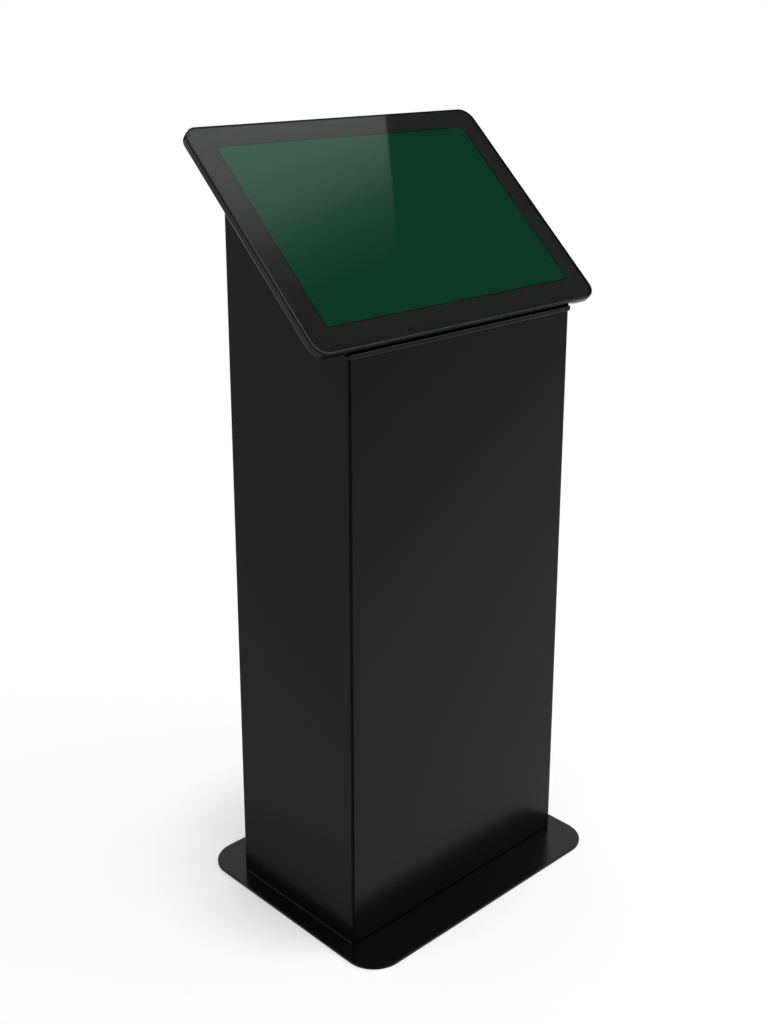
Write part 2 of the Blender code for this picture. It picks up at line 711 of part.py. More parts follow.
def build_inlet():
    half_x, half_z = INLET_WIDTH / 2, INLET_TALL / 2
    chamfer = INLET_TALL / 4
    cavity = [
        (INLET_X - half_x, INLET_HEIGHT - half_z),
        (INLET_X + half_x, INLET_HEIGHT - half_z),
        (INLET_X + half_x, INLET_HEIGHT + half_z - chamfer),
        (INLET_X + half_x - chamfer, INLET_HEIGHT + half_z),
        (INLET_X - half_x + chamfer, INLET_HEIGHT + half_z),
        (INLET_X - half_x, INLET_HEIGHT + half_z - chamfer),
    ]
    add("power_inlet", power_housing(INLET_X, inlet_outer(), INLET_DEPTH, cavity), BLACK_PLASTIC)
    floor = REAR_Y + SEAT_GAP + INLET_FLANGE_THICKNESS - INLET_DEPTH + SEAT_GAP
    places = [(-INLET_PIN_SPACING, -INLET_PIN_DROP), (0, INLET_PIN_DROP), (INLET_PIN_SPACING, -INLET_PIN_DROP)]
    for number, (x, z) in enumerate(places, 1):
        middle = (INLET_X + x, INLET_HEIGHT + z)
        blade = box(
            (middle[0] - INLET_PIN_THICKNESS / 2, floor, middle[1] - INLET_PIN_WIDTH / 2),
            (middle[0] + INLET_PIN_THICKNESS / 2, floor + INLET_PIN_LENGTH, middle[1] + INLET_PIN_WIDTH / 2))
        add(f"inlet_pin_{number}", blade, BRIGHT_STEEL)


def rocker_pivot():
    face = REAR_Y + SEAT_GAP + INLET_FLANGE_THICKNESS
    return Vector((SWITCH_X, face - ROCKER_PIVOT_DEPTH, INLET_HEIGHT))


def build_switch(rocker_frame):
    cavity = rectangle(
        SWITCH_X - SWITCH_WIDTH / 2, INLET_HEIGHT - SWITCH_TALL / 2,
        SWITCH_X + SWITCH_WIDTH / 2, INLET_HEIGHT + SWITCH_TALL / 2)
    add("switch_housing", power_housing(SWITCH_X, switch_outer(), SWITCH_DEPTH, cavity), BLACK_PLASTIC)
    pivot = rocker_pivot()
    face = ROCKER_PIVOT_DEPTH + ROCKER_RISE
    reach = SWITCH_TALL / 2 / math.cos(ROCKER_TILT) - face * math.sin(ROCKER_TILT) - 2 * SEAT_GAP
    waist = face - ROCKER_RISE / 2
    root = SWITCH_DEPTH - ROCKER_PIVOT_DEPTH - reach * math.sin(ROCKER_TILT) - SEAT_GAP
    outline = [
        (-min(root, reach / 2), -reach / 2),
        (-min(root, reach / 2), reach / 2),
        (waist - ROCKER_RISE, reach),
        (face, reach - ROCKER_RISE),
        (waist, 0),
        (face, -reach + ROCKER_RISE),
        (waist - ROCKER_RISE, -reach),
    ]
    half = SWITCH_WIDTH / 2 - SEAT_GAP
    rocker = prism(outline, -half, half, "X")
    rocker.transform(Matrix.Translation(pivot) @ Matrix.Rotation(-ROCKER_TILT, 4, "X"))
    add("switch_rocker", rocker, BLACK_PLASTIC, rocker_frame)


# Display head, in the slope's own frame: v runs up the slope from the column's front edge and w stands off it

def build_tray(slope_frame):
    """A sheet on the sloping top of the column, turned up at the front into a ledge, with a cable window."""
    front = FRONT_Y - TRAY_LIP
    rear = REAR_Y + TRAY_LIP
    ledge_top = slope_height(front, -TRAY_HIGH) + TRAY_LEDGE
    edge = TRAY_THICKNESS / 2
    path = [
        (front, ledge_top - edge),
        (front, slope_height(front, -TRAY_LOW)),
        (rear, slope_height(rear, -TRAY_LOW)),
    ]
    half = SIDE_X + TRAY_OVERHANG
    section = folded_sheet(path, TRAY_THICKNESS, TRAY_BEND_RADIUS)
    section += arc((front + edge, ledge_top - edge), edge, 0, math.pi, 6)[1:-1]
    sheet = prism(section, -half, half, "X")
    plan = prism(
        rounded_rectangle(2 * half, rear - front, TRAY_CORNER_RADIUS, steps=6),
        FRONT_HEIGHT - COLUMN_DEPTH, slope_height(rear) + COLUMN_DEPTH, "Z")
    window = prism(cable_window(), -TUB_DEPTH, GLASS_HIGH, "Z")
    window.transform(slope_frame.matrix_world)
    tray = cut(boolean(sheet, plan, "INTERSECT"), window)
    add("support_tray", tray, BLACK_PAINT, slope_frame)


def cable_window():
    return rounded_rectangle(
        CABLE_WINDOW_WIDTH, CABLE_WINDOW_LENGTH, HEAD_CORNER_RADIUS / 2, (0, HEAD_MIDDLE), 4)


def head_outline(inset, steps=8):
    return rounded_rectangle(
        HEAD_WIDTH - 2 * inset, HEAD_LENGTH - 2 * inset, HEAD_CORNER_RADIUS - inset, (0, HEAD_MIDDLE), steps)


def build_head(slope_frame):
    def seat(name, mesh, finish):
        add(name, mesh, finish, slope_frame, in_parent_frame=True)

    case = prism(head_outline(0), CASE_LOW, CASE_HIGH, "Z")
    lower_rim = [e for e in case.edges if all(v.co.z < CASE_LOW + SEAT_GAP for v in e.verts)]
    bmesh.ops.bevel(case, geom=lower_rim, offset=CASE_EDGE_RADIUS, segments=6, profile=0.5, affect="EDGES")
    bmesh.ops.recalc_face_normals(case, faces=case.faces)
    pocket_low = CASE_LOW + CASE_FLOOR
    case = cut(case, prism(head_outline(CASE_WALL), pocket_low, GLASS_HIGH, "Z"))
    seat("head_case", cut(case, prism(cable_window(), 0, GLASS_LOW, "Z")), BLACK_CASE)
    seat("cover_glass", prism(head_outline(GLASS_INSET), GLASS_LOW, GLASS_HIGH, "Z"), SCREEN_GLASS)
    gasket_low = CASE_HIGH + SEAT_GAP
    gasket = ring(
        head_outline(GASKET_SETBACK), head_outline(GASKET_SETBACK + GASKET_WIDTH),
        gasket_low, GLASS_LOW - SEAT_GAP, "Z")
    seat("glass_gasket", gasket, BLACK_RUBBER)
    half_w, half_l = LCD_WIDTH / 2, LCD_LENGTH / 2
    lcd_low = pocket_low + SEAT_GAP
    lcd = box(
        (-half_w, HEAD_MIDDLE - half_l, lcd_low), (half_w, HEAD_MIDDLE + half_l, GLASS_LOW - SEAT_GAP))
    seat("lcd_panel", lcd, SCREEN_GREEN)
    bracket_outer = HEAD_WIDTH / 2 - CASE_WALL - SEAT_GAP
    for name, side in (("left_lcd_bracket", -1), ("right_lcd_bracket", 1)):
        ends = sorted((side * (half_w + SEAT_GAP), side * bracket_outer))
        bracket = box(
            (ends[0], HEAD_MIDDLE - LCD_BRACKET_LENGTH / 2, lcd_low),
            (ends[1], HEAD_MIDDLE + LCD_BRACKET_LENGTH / 2, CASE_HIGH))
        seat(name, bracket, GALVANISED)
    build_electronics(seat)


def circuit_board(low_x, high_x, floor, blocks):
    """A board on standoffs with its larger components, each a block given by place, size and height."""
    low_y = HEAD_MIDDLE - TUB_LENGTH / 2 + BOARD_MARGIN
    high_y = HEAD_MIDDLE + TUB_LENGTH / 2 - BOARD_MARGIN
    low = floor + STANDOFF
    board = box((low_x, low_y, low), (high_x, high_y, low + BOARD_THICKNESS))
    corners = [(x, y) for x in (low_x + STANDOFF, high_x - STANDOFF) for y in (low_y + STANDOFF, high_y - STANDOFF)]
    legs = [prism(circle(c, STANDOFF / 2, 8), floor, low + BOARD_THICKNESS / 2, "Z") for c in corners]
    chips = []
    for share_x, share_y, width, length, height in blocks:
        x = low_x + share_x * (high_x - low_x)
        y = low_y + share_y * (high_y - low_y)
        chips.append(box(
            (x - width / 2, y - length / 2, low + BOARD_THICKNESS / 2),
            (x + width / 2, y + length / 2, low + BOARD_THICKNESS + height)))
    return union(board, joined(legs), joined(chips))


def build_electronics(seat):
    """The tub under the tray's cable window, with the display driver and the touch controller in it."""
    tub_high = -SHEET - SEAT_GAP
    tub_low = tub_high - TUB_DEPTH
    outer = rounded_rectangle(TUB_WIDTH, TUB_LENGTH, BOARD_MARGIN, (0, HEAD_MIDDLE), 4)
    inner = rounded_rectangle(
        TUB_WIDTH - 2 * SHEET, TUB_LENGTH - 2 * SHEET, BOARD_MARGIN - SHEET, (0, HEAD_MIDDLE), 4)
    rim = rounded_rectangle(
        TUB_WIDTH + 2 * TUB_FLANGE, TUB_LENGTH + 2 * TUB_FLANGE, BOARD_MARGIN, (0, HEAD_MIDDLE), 4)
    tub = union(prism(outer, tub_low, tub_high + SHEET / 2, "Z"), prism(rim, tub_high, tub_high + SHEET, "Z"))
    seat("electronics_tub", cut(tub, prism(inner, tub_low + SHEET, GLASS_LOW, "Z")), GALVANISED)
    floor = tub_low + SHEET + SEAT_GAP
    left, right = -TUB_WIDTH / 2 + BOARD_MARGIN, TUB_WIDTH / 2 - BOARD_MARGIN
    split = left + (right - left) * DRIVER_BOARD_SHARE
    driver_blocks = [
        (0.30, 0.45, 0.022, 0.022, 0.004),
        (0.70, 0.60, 0.016, 0.016, 0.003),
        (0.20, 0.88, 0.030, 0.010, 0.008),
        (0.75, 0.14, 0.040, 0.008, 0.006),
    ]
    touch_blocks = [
        (0.50, 0.50, 0.012, 0.012, 0.002),
        (0.50, 0.86, 0.024, 0.008, 0.006),
    ]
    seat("display_driver_board", circuit_board(left, split - STANDOFF / 2, floor, driver_blocks), BOARD_GREEN)
    seat("touch_controller", circuit_board(split + STANDOFF / 2, right, floor, touch_blocks), BOARD_GREEN)


# Equipment inside the column

def build_equipment():
    outer = SIDE_X - SHEET - SEAT_GAP
    path = [
        (-outer, SHELF_HEIGHT + SHELF_FLANGE),
        (-outer, SHELF_HEIGHT),
        (outer, SHELF_HEIGHT),
        (outer, SHELF_HEIGHT + SHELF_FLANGE),
    ]
    near = FOLD_Y + SHEET + SHELF_FRONT_GAP
    shelf = prism(folded_sheet(path, SHEET, BEND_RADIUS), near, near + SHELF_DEPTH, "Y")
    add("equipment_shelf", shelf, GALVANISED)
    low = SHELF_TOP + SEAT_GAP
    add("media_player", player_body(low), ALUMINIUM)
    supply = rounded_box(
        (SUPPLY_X - SUPPLY_WIDTH / 2, EQUIPMENT_Y - SUPPLY_DEPTH / 2, low),
        (SUPPLY_X + SUPPLY_WIDTH / 2, EQUIPMENT_Y + SUPPLY_DEPTH / 2, low + SUPPLY_HEIGHT),
        BOX_EDGE_RADIUS)
    add("power_supply", supply, BLACK_PLASTIC)


def player_body(low):
    """A fanless computer: a box whose top is a row of cooling fins."""
    left = PLAYER_X - PLAYER_WIDTH / 2
    valley = low + PLAYER_HEIGHT - PLAYER_FIN_HEIGHT
    pitch = PLAYER_WIDTH / (2 * PLAYER_FINS - 1)
    outline = [(left, low), (left + PLAYER_WIDTH, low)]
    for fin in range(PLAYER_FINS):
        right_edge = left + PLAYER_WIDTH - 2 * fin * pitch
        outline += [(right_edge, low + PLAYER_HEIGHT), (right_edge - pitch, low + PLAYER_HEIGHT)]
        if fin < PLAYER_FINS - 1:
            outline += [(right_edge - pitch, valley), (right_edge - 2 * pitch, valley)]
    return prism(outline, EQUIPMENT_Y - PLAYER_DEPTH / 2, EQUIPMENT_Y + PLAYER_DEPTH / 2, "Y")


def main():
    for old in list(bpy.data.objects):
        bpy.data.objects.remove(old)
    hinge_frame = add_frame("door_hinge_axis", (HINGE_X, HINGE_Y, 0))
    lock_frame = add_frame("lock_axis", (LOCK_X, REAR_Y, LOCK_Z), parent=hinge_frame)
    rocker_frame = add_frame("rocker_axis", rocker_pivot())
    slope_frame = add_frame("column_slope", (0, FRONT_Y, FRONT_HEIGHT), tilt=HEAD_TILT)
    build_base()
    build_side_panel("left_side_panel", -1)
    build_side_panel("right_side_panel", 1)
    build_front_panel()
    build_rear_panels()
    build_door(hinge_frame)
    build_hinge("lower", DOOR_BOTTOM + HINGE_EDGE_DISTANCE, hinge_frame)
    build_hinge("upper", DOOR_TOP - HINGE_EDGE_DISTANCE - HINGE_HEIGHT, hinge_frame)
    build_lock(hinge_frame, lock_frame)
    build_lock_keeper()
    build_inlet()
    build_switch(rocker_frame)
    build_tray(slope_frame)
    build_head(slope_frame)
    build_equipment()


main()
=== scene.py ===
import json
import math
import bmesh
import bpy
import numpy as np
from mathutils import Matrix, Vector


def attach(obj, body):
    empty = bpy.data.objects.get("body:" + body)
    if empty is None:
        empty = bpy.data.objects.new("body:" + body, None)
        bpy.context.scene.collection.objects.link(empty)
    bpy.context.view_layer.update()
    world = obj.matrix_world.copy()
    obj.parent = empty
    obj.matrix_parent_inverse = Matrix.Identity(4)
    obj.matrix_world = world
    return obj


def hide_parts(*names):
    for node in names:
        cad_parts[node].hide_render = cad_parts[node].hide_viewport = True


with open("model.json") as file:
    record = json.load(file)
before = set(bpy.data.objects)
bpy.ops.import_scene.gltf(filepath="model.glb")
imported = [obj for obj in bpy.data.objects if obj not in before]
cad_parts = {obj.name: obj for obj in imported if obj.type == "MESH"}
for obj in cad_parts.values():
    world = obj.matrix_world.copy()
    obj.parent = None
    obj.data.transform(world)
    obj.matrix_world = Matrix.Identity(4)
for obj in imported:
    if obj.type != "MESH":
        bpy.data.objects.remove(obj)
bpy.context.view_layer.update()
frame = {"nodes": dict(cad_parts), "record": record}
bodies = frame["record"]["behaviour"]["bodies"]
nodeBody = {node: body for body, members in bodies.items() for node in members}
print("frame loaded:", len(frame["nodes"]), "nodes")


# mesh helpers, all on whole arrays

def cornerDirections(perCorner):
    # (cos, sin) of an angle that runs once round, in four quarter turns that each have both their ends
    angle = np.linspace(0, math.pi / 2, perCorner)[None, :] + np.arange(4)[:, None] * math.pi / 2
    return np.stack([np.cos(angle), np.sin(angle)], -1)


def roundedOutline(width, length, radius, perCorner):
    # four quarter circles: each corner's centre plus the radius times the outward directions
    corners = np.array([(1, 1), (-1, 1), (-1, -1), (1, -1)])
    centre = corners * (np.array([width, length]) / 2 - radius)
    return (centre[:, None, :] + radius * cornerDirections(perCorner)).reshape(-1, 2)


def atHeight(outline, height):
    # a flat outline lifted to one height
    return np.column_stack([outline, np.full(len(outline), height)])


def rimRings(width, length, radius, profile, perCorner):
    # one rounded outline for each (inset, height) of the profile, shrunk by the inset and at that height
    leastRadius = 1e-5
    rings = []
    for inset, height in profile:
        corner = max(radius - inset, leastRadius)
        outline = roundedOutline(width - 2 * inset, length - 2 * inset, corner, perCorner)
        rings.append(atHeight(outline, height))
    return np.array(rings)


def edgeRound(inset, height, radius, start, end, steps):
    # part of a small edge circle, from one angle to another in degrees, as (inset, height) points
    angle = np.radians(np.linspace(start, end, steps))
    return [(inset + radius * math.cos(a), height + radius * math.sin(a)) for a in angle]


def platesProfile(low, high, radius, steps):
    # a flat plate's edge: up from the bottom face round the lower edge, then round the upper edge
    lower = edgeRound(radius, low + radius, radius, 270, 180, steps)
    upper = edgeRound(radius, high - radius, radius, 180, 90, steps)
    flat = radius + 0.0015  # a last ring on each face keeps its middle shaded flat
    return [(flat, low)] + lower + upper + [(flat, high)]


def gridFaces(rows, columns, wrapColumns, wrapRows=False):
    # quads between neighbouring rows and columns of a grid of points
    r = np.arange(rows if wrapRows else rows - 1)
    c = np.arange(columns if wrapColumns else columns - 1)
    r, c = np.meshgrid(r, c, indexing="ij")
    r2, c2 = (r + 1) % rows, (c + 1) % columns
    quads = np.stack([r * columns + c, r * columns + c2, r2 * columns + c2, r2 * columns + c], -1)
    return quads.reshape(-1, 4).tolist()


def shell(points, wrapRows=False):
    # rings of points joined into a surface, with flat caps at its ends unless the last ring meets the first
    rows, columns = points.shape[:2]
    faces = gridFaces(rows, columns, True, wrapRows)
    if not wrapRows:
        faces += [list(range(columns))[::-1], list(range((rows - 1) * columns, rows * columns))]
    return points.reshape(-1, 3), faces


def lathe(profile, count):
    # a profile of (radius, height) points turned about an upright axis
    profile = np.array(profile)
    angle = np.arange(count) / count * math.tau
    x = profile[:, 0, None] * np.cos(angle)
    y = profile[:, 0, None] * np.sin(angle)
    z = np.repeat(profile[:, 1, None], count, 1)
    return shell(np.stack([x, y, z], -1))


def together(parts):
    # several surfaces as one list of points and faces
    points, faces, start = [], [], 0
    for p, f in parts:
        points.append(p)
        faces += [[i + start for i in face] for face in f]
        start += len(p)
    return np.concatenate(points), faces


def moved(part, matrix):
    # points turned by the matrix's first three columns and shifted by its last
    return part[0] @ np.array(matrix)[:, :3].T + np.array(matrix)[:, 3], part[1]


def finishMesh(mesh, sharp):
    weldGap = 1e-6
    work = bmesh.new()
    work.from_mesh(mesh)
    bmesh.ops.remove_doubles(work, verts=work.verts, dist=weldGap)
    bmesh.ops.recalc_face_normals(work, faces=work.faces)
    work.to_mesh(mesh)
    work.free()
    mesh.shade_smooth()
    mesh.set_sharp_from_angle(angle=math.radians(sharp))


def addPiece(name, part, material, body, stands=(), sharp=32):
    mesh = bpy.data.meshes.new(name)
    mesh.from_pydata(part[0].tolist(), [], part[1])
    finishMesh(mesh, sharp)
    mesh.materials.append(material)
    piece = bpy.data.objects.new(name, mesh)
    bpy.context.scene.collection.objects.link(piece)
    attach(piece, body)
    if stands:
        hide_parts(*stands)


def weighShading(mesh, limit):
    # a corner's normal is the mean, weighed by area, of the faces round its point,
    # of which only those count that turn less than the limit from its own face
    corners, faces = len(mesh.loops), len(mesh.polygons)
    point, sizes = np.empty(corners, np.int32), np.empty(faces, np.int32)
    area, normal = np.empty(faces, np.float32), np.empty(faces * 3, np.float32)
    mesh.loops.foreach_get("vertex_index", point)
    mesh.polygons.foreach_get("loop_total", sizes)
    mesh.polygons.foreach_get("area", area)
    mesh.polygons.foreach_get("normal", normal)
    normal = normal.reshape(-1, 3)
    face = np.repeat(np.arange(faces), sizes)
    order = np.argsort(point, kind="stable")
    meeting = np.bincount(point, minlength=len(mesh.vertices))
    start = np.concatenate([[0], np.cumsum(meeting)[:-1]])
    total = np.zeros((corners, 3))
    for step in range(meeting.max()):
        other = face[order[np.minimum(start[point] + step, corners - 1)]]
        near = (normal[face] * normal[other]).sum(1) > math.cos(math.radians(limit))
        total += np.where(near & (step < meeting[point]), area[other], 0)[:, None] * normal[other]
    total /= np.maximum(np.linalg.norm(total, axis=1, keepdims=True), 1e-20)
    mesh.normals_split_custom_set(total.tolist())


def dressNode(node, material, edge):
    # a merged copy of a CAD node with its edges rounded and its flat faces shaded flat
    finish = {"weldGap": 1e-5, "flat": math.radians(0.5), "sharp": math.radians(40),
              "segments": 2, "shading": 50}
    mesh = frame["nodes"][node].data.copy()
    mesh.name = "finished_" + node
    work = bmesh.new()
    work.from_mesh(mesh)
    bmesh.ops.remove_doubles(work, verts=work.verts, dist=finish["weldGap"])
    bmesh.ops.dissolve_limit(work, angle_limit=finish["flat"], verts=work.verts, edges=work.edges)
    if edge > 0:
        inside = [e for e in work.edges if len(e.link_faces) == 2]
        edges = [e for e in inside if e.calc_face_angle() > finish["sharp"]]
        bmesh.ops.bevel(work, geom=edges, offset=edge, segments=finish["segments"], profile=0.5,
                        affect="EDGES", clamp_overlap=True)
    work.to_mesh(mesh)
    work.free()
    mesh.shade_smooth()
    mesh.set_sharp_from_angle(angle=finish["sharp"])
    weighShading(mesh, finish["shading"])
    mesh.materials.clear()
    mesh.materials.append(material)
    piece = bpy.data.objects.new("finished_" + node, mesh)
    bpy.context.scene.collection.objects.link(piece)
    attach(piece, nodeBody[node])
    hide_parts(node)


# shader helpers

def nodeIn(tree, kind, inputs=None, **settings):
    made = tree.nodes.new(kind)
    for key, value in settings.items():
        setattr(made, key, value)
    for key, value in (inputs or {}).items():
        made.inputs[key].default_value = value
    return made


def rangeIn(tree, lowIn=0.0, highIn=1.0, lowOut=0.0, highOut=1.0, **settings):
    # maps a value from one span to another and holds it at the ends
    sockets = {"From Min": lowIn, "From Max": highIn, "To Min": lowOut, "To Max": highOut}
    return nodeIn(tree, "ShaderNodeMapRange", sockets, **settings)


def objectPlace(tree):
    return nodeIn(tree, "ShaderNodeTexCoord").outputs["Object"]


def effectGroup(name, inputs, outputs):
    # an empty shader group with float or vector inputs and its outputs
    group = bpy.data.node_groups.new(name, "ShaderNodeTree")
    kinds = {"v": "NodeSocketVector", "f": "NodeSocketFloat"}
    for label, kind, value in inputs:
        socket = group.interface.new_socket(label, in_out="INPUT", socket_type=kinds[kind])
        if value is not None:
            socket.default_value = value
    for label, kind in outputs:
        group.interface.new_socket(label, in_out="OUTPUT", socket_type=kinds[kind])
    return group, group.nodes.new("NodeGroupInput"), group.nodes.new("NodeGroupOutput")


def makeCoatPeel():
    # sprayed powder: fine bumps that melted together, over a slow drift in tone
    group, given, result = effectGroup(
        "coatPeel",
        [("Vector", "v", None), ("Bump size", "f", 900.0), ("Drift", "f", 0.15)],
        [("Height", "f"), ("Tone", "f"), ("Gloss", "f")])
    link = group.links.new
    fine = nodeIn(group, "ShaderNodeTexNoise", {"Detail": 2.0, "Roughness": 0.55})
    link(given.outputs["Vector"], fine.inputs["Vector"])
    link(given.outputs["Bump size"], fine.inputs["Scale"])
    slow = nodeIn(group, "ShaderNodeTexNoise", {"Scale": 7.0, "Detail": 3.0, "Roughness": 0.5})
    link(given.outputs["Vector"], slow.inputs["Vector"])
    tone = rangeIn(group, 0.3, 0.7)
    low = nodeIn(group, "ShaderNodeMath", {0: 1.0}, operation="SUBTRACT")
    link(given.outputs["Drift"], low.inputs[1])
    link(slow.outputs["Fac"], tone.inputs["Value"])
    link(low.outputs[0], tone.inputs["To Min"])
    speck = rangeIn(group, 0.35, 0.65, -0.5, 0.5)
    link(fine.outputs["Fac"], speck.inputs["Value"])
    link(fine.outputs["Fac"], result.inputs["Height"])
    link(tone.outputs["Result"], result.inputs["Tone"])
    link(speck.outputs["Result"], result.inputs["Gloss"])
    return group


def makeGrain():
    # short streaks along one axis, from noise on stretched coordinates
    group, given, result = effectGroup(
        "drawnGrain", [("Vector", "v", None), ("Stretch", "v", (1.0, 1.0, 40.0))], [("Streak", "f")])
    link = group.links.new
    scaled = nodeIn(group, "ShaderNodeVectorMath", operation="MULTIPLY")
    link(given.outputs["Vector"], scaled.inputs[0])
    link(given.outputs["Stretch"], scaled.inputs[1])
    streak = nodeIn(group, "ShaderNodeTexNoise", {"Scale": 30.0, "Detail": 3.0})
    link(scaled.outputs[0], streak.inputs["Vector"])
    link(streak.outputs["Fac"], result.inputs["Streak"])
    return group


coatPeel = makeCoatPeel()
drawnGrain = makeGrain()


def newMaterial(name, **sockets):
    material = bpy.data.materials.new(name)
    material.use_nodes = True
    tree = material.node_tree
    shader = tree.nodes["Principled BSDF"]
    for key, value in sockets.items():
        shader.inputs[key].default_value = value
    return material, tree, shader


def coatMaterial(name, colour, gloss, specular, peelSize=900.0, peelDepth=0.00002, glossSpread=0.06):
    # black coat: tone drifts slowly, gloss and height follow the fine bumps
    material, tree, shader = newMaterial(name, **{"Specular IOR Level": specular})
    link = tree.links.new
    peel = nodeIn(tree, "ShaderNodeGroup", node_tree=coatPeel)
    peel.inputs["Bump size"].default_value = peelSize
    peel.inputs["Drift"].default_value = 0.12
    link(objectPlace(tree), peel.inputs["Vector"])
    shade = nodeIn(tree, "ShaderNodeMix", data_type="RGBA", blend_type="MULTIPLY")
    shade.inputs["Factor"].default_value = 1.0
    shade.inputs["A"].default_value = (*colour, 1)
    link(peel.outputs["Tone"], shade.inputs["B"])
    link(shade.outputs["Result"], shader.inputs["Base Color"])
    rough = nodeIn(tree, "ShaderNodeMath", {1: glossSpread, 2: gloss}, operation="MULTIPLY_ADD")
    link(peel.outputs["Gloss"], rough.inputs[0])
    link(rough.outputs[0], shader.inputs["Roughness"])
    bump = nodeIn(tree, "ShaderNodeBump", {"Strength": 0.5, "Distance": peelDepth})
    link(peel.outputs["Height"], bump.inputs["Height"])
    link(bump.outputs["Normal"], shader.inputs["Normal"])
    return material


def metalMaterial(name, colour, gloss, stretch):
    # bare metal whose tone, gloss and height follow the drawn grain
    spread, darker = 0.12, 0.8
    material, tree, shader = newMaterial(name, Metallic=1.0)
    link = tree.links.new
    grain = nodeIn(tree, "ShaderNodeGroup", node_tree=drawnGrain)
    grain.inputs["Stretch"].default_value = stretch
    link(objectPlace(tree), grain.inputs["Vector"])
    tint = nodeIn(tree, "ShaderNodeMix", data_type="RGBA")
    tint.inputs["A"].default_value = (*(c * darker for c in colour), 1)
    tint.inputs["B"].default_value = (*colour, 1)
    link(grain.outputs["Streak"], tint.inputs["Factor"])
    link(tint.outputs["Result"], shader.inputs["Base Color"])
    rough = nodeIn(tree, "ShaderNodeMath", {1: spread, 2: gloss - spread / 2}, operation="MULTIPLY_ADD")
    link(grain.outputs["Streak"], rough.inputs[0])
    link(rough.outputs[0], shader.inputs["Roughness"])
    bump = nodeIn(tree, "ShaderNodeBump", {"Strength": 0.3, "Distance": 0.00002})
    link(grain.outputs["Streak"], bump.inputs["Height"])
    link(bump.outputs["Normal"], shader.inputs["Normal"])
    return material


def spangleMaterial(name):
    # zinc crystals: flat cells of differing tone and gloss
    zinc = {"cells": 110.0, "gloss": (0.34, 0.52),
            "dark": (0.36, 0.37, 0.38, 1), "pale": (0.56, 0.57, 0.58, 1)}
    material, tree, shader = newMaterial(name, Metallic=1.0)
    link = tree.links.new
    cells = nodeIn(tree, "ShaderNodeTexVoronoi", {"Scale": zinc["cells"], "Randomness": 1.0})
    link(objectPlace(tree), cells.inputs["Vector"])
    parts = nodeIn(tree, "ShaderNodeSeparateColor")
    link(cells.outputs["Color"], parts.inputs["Color"])
    tint = nodeIn(tree, "ShaderNodeMix", data_type="RGBA")
    tint.inputs["A"].default_value = zinc["dark"]
    tint.inputs["B"].default_value = zinc["pale"]
    link(parts.outputs["Red"], tint.inputs["Factor"])
    link(tint.outputs["Result"], shader.inputs["Base Color"])
    rough = rangeIn(tree, 0.0, 1.0, *zinc["gloss"])
    link(parts.outputs["Green"], rough.inputs["Value"])
    link(rough.outputs["Result"], shader.inputs["Roughness"])
    return material


def boardMaterial(name):
    # solder mask over a grid of copper tracks, with tone from square cells
    mask = {"cells": 260.0, "step": (0.25, 0.45),
            "dark": (0.006, 0.06, 0.028, 1), "pale": (0.012, 0.12, 0.052, 1)}
    material, tree, shader = newMaterial(name, **{"Specular IOR Level": 0.5, "Roughness": 0.38})
    link = tree.links.new
    tracks = nodeIn(tree, "ShaderNodeTexVoronoi", {"Scale": mask["cells"]},
                    distance="MANHATTAN", feature="F1")
    link(objectPlace(tree), tracks.inputs["Vector"])
    step = rangeIn(tree, *mask["step"])
    link(tracks.outputs["Distance"], step.inputs["Value"])
    tint = nodeIn(tree, "ShaderNodeMix", data_type="RGBA")
    tint.inputs["A"].default_value = mask["dark"]
    tint.inputs["B"].default_value = mask["pale"]
    link(step.outputs["Result"], tint.inputs["Factor"])
    link(tint.outputs["Result"], shader.inputs["Base Color"])
    return material


def glassMaterial(name):
    tint = (0.97, 0.985, 0.98, 1)
    return newMaterial(name, IOR=1.5, Roughness=0.0, **{"Transmission Weight": 1.0, "Base Color": tint})[0]


# coats: colour, gloss, specular, then the size and depth of the fine bumps
powderCoat = coatMaterial("powderCoat", (0.0026, 0.0026, 0.0027), 0.24, 0.125)
baseCoat = coatMaterial("baseCoat", (0.0030, 0.0030, 0.0031), 0.21, 0.18)
trayCoat = coatMaterial("trayCoat", (0.0026, 0.0026, 0.0027), 0.22, 0.21)
caseCoat = coatMaterial("caseCoat", (0.0034, 0.0034, 0.0035), 0.15, 0.29, 1200.0, 0.000006)
# matte black for the strips of painted shade in the front panel's seams
seamShadeBlack = coatMaterial("seamShadeBlack", (0.0055, 0.0055, 0.0055), 0.9, 0.0, 700.0, 0.00002)
mouldedBlack = coatMaterial("mouldedBlack", (0.012, 0.012, 0.012), 0.48, 0.45, 1800.0, 0.00003)
softRubber = coatMaterial("softRubber", (0.006, 0.006, 0.006), 0.80, 0.25, 700.0, 0.00004)
inkBorder = coatMaterial("inkBorder", (0.038, 0.038, 0.038), 0.10, 0.22, 1500.0, 0.000001, 0.02)
marginBlack = coatMaterial("marginBlack", (0.006, 0.006, 0.006), 0.5, 0.0, 1500.0, 0.000001)

# metals: colour, gloss, and how often the grain changes along each axis
lockNickel = metalMaterial("lockNickel", (0.20, 0.20, 0.21), 0.34, (40.0, 6.0, 6.0))
screwBlack = metalMaterial("screwBlack", (0.045, 0.045, 0.05), 0.38, (20.0, 20.0, 20.0))
platedSteel = metalMaterial("platedSteel", (0.62, 0.62, 0.63), 0.26, (6.0, 6.0, 60.0))
darkAnodised = metalMaterial("darkAnodised", (0.10, 0.10, 0.11), 0.42, (8.0, 60.0, 8.0))
zincSheet = spangleMaterial("zincSheet")
solderMask = boardMaterial("solderMask")
clearGlass = glassMaterial("clearGlass")
print("materials made")


# display head: u runs across, v up the slope from the column's front edge, w off the slope

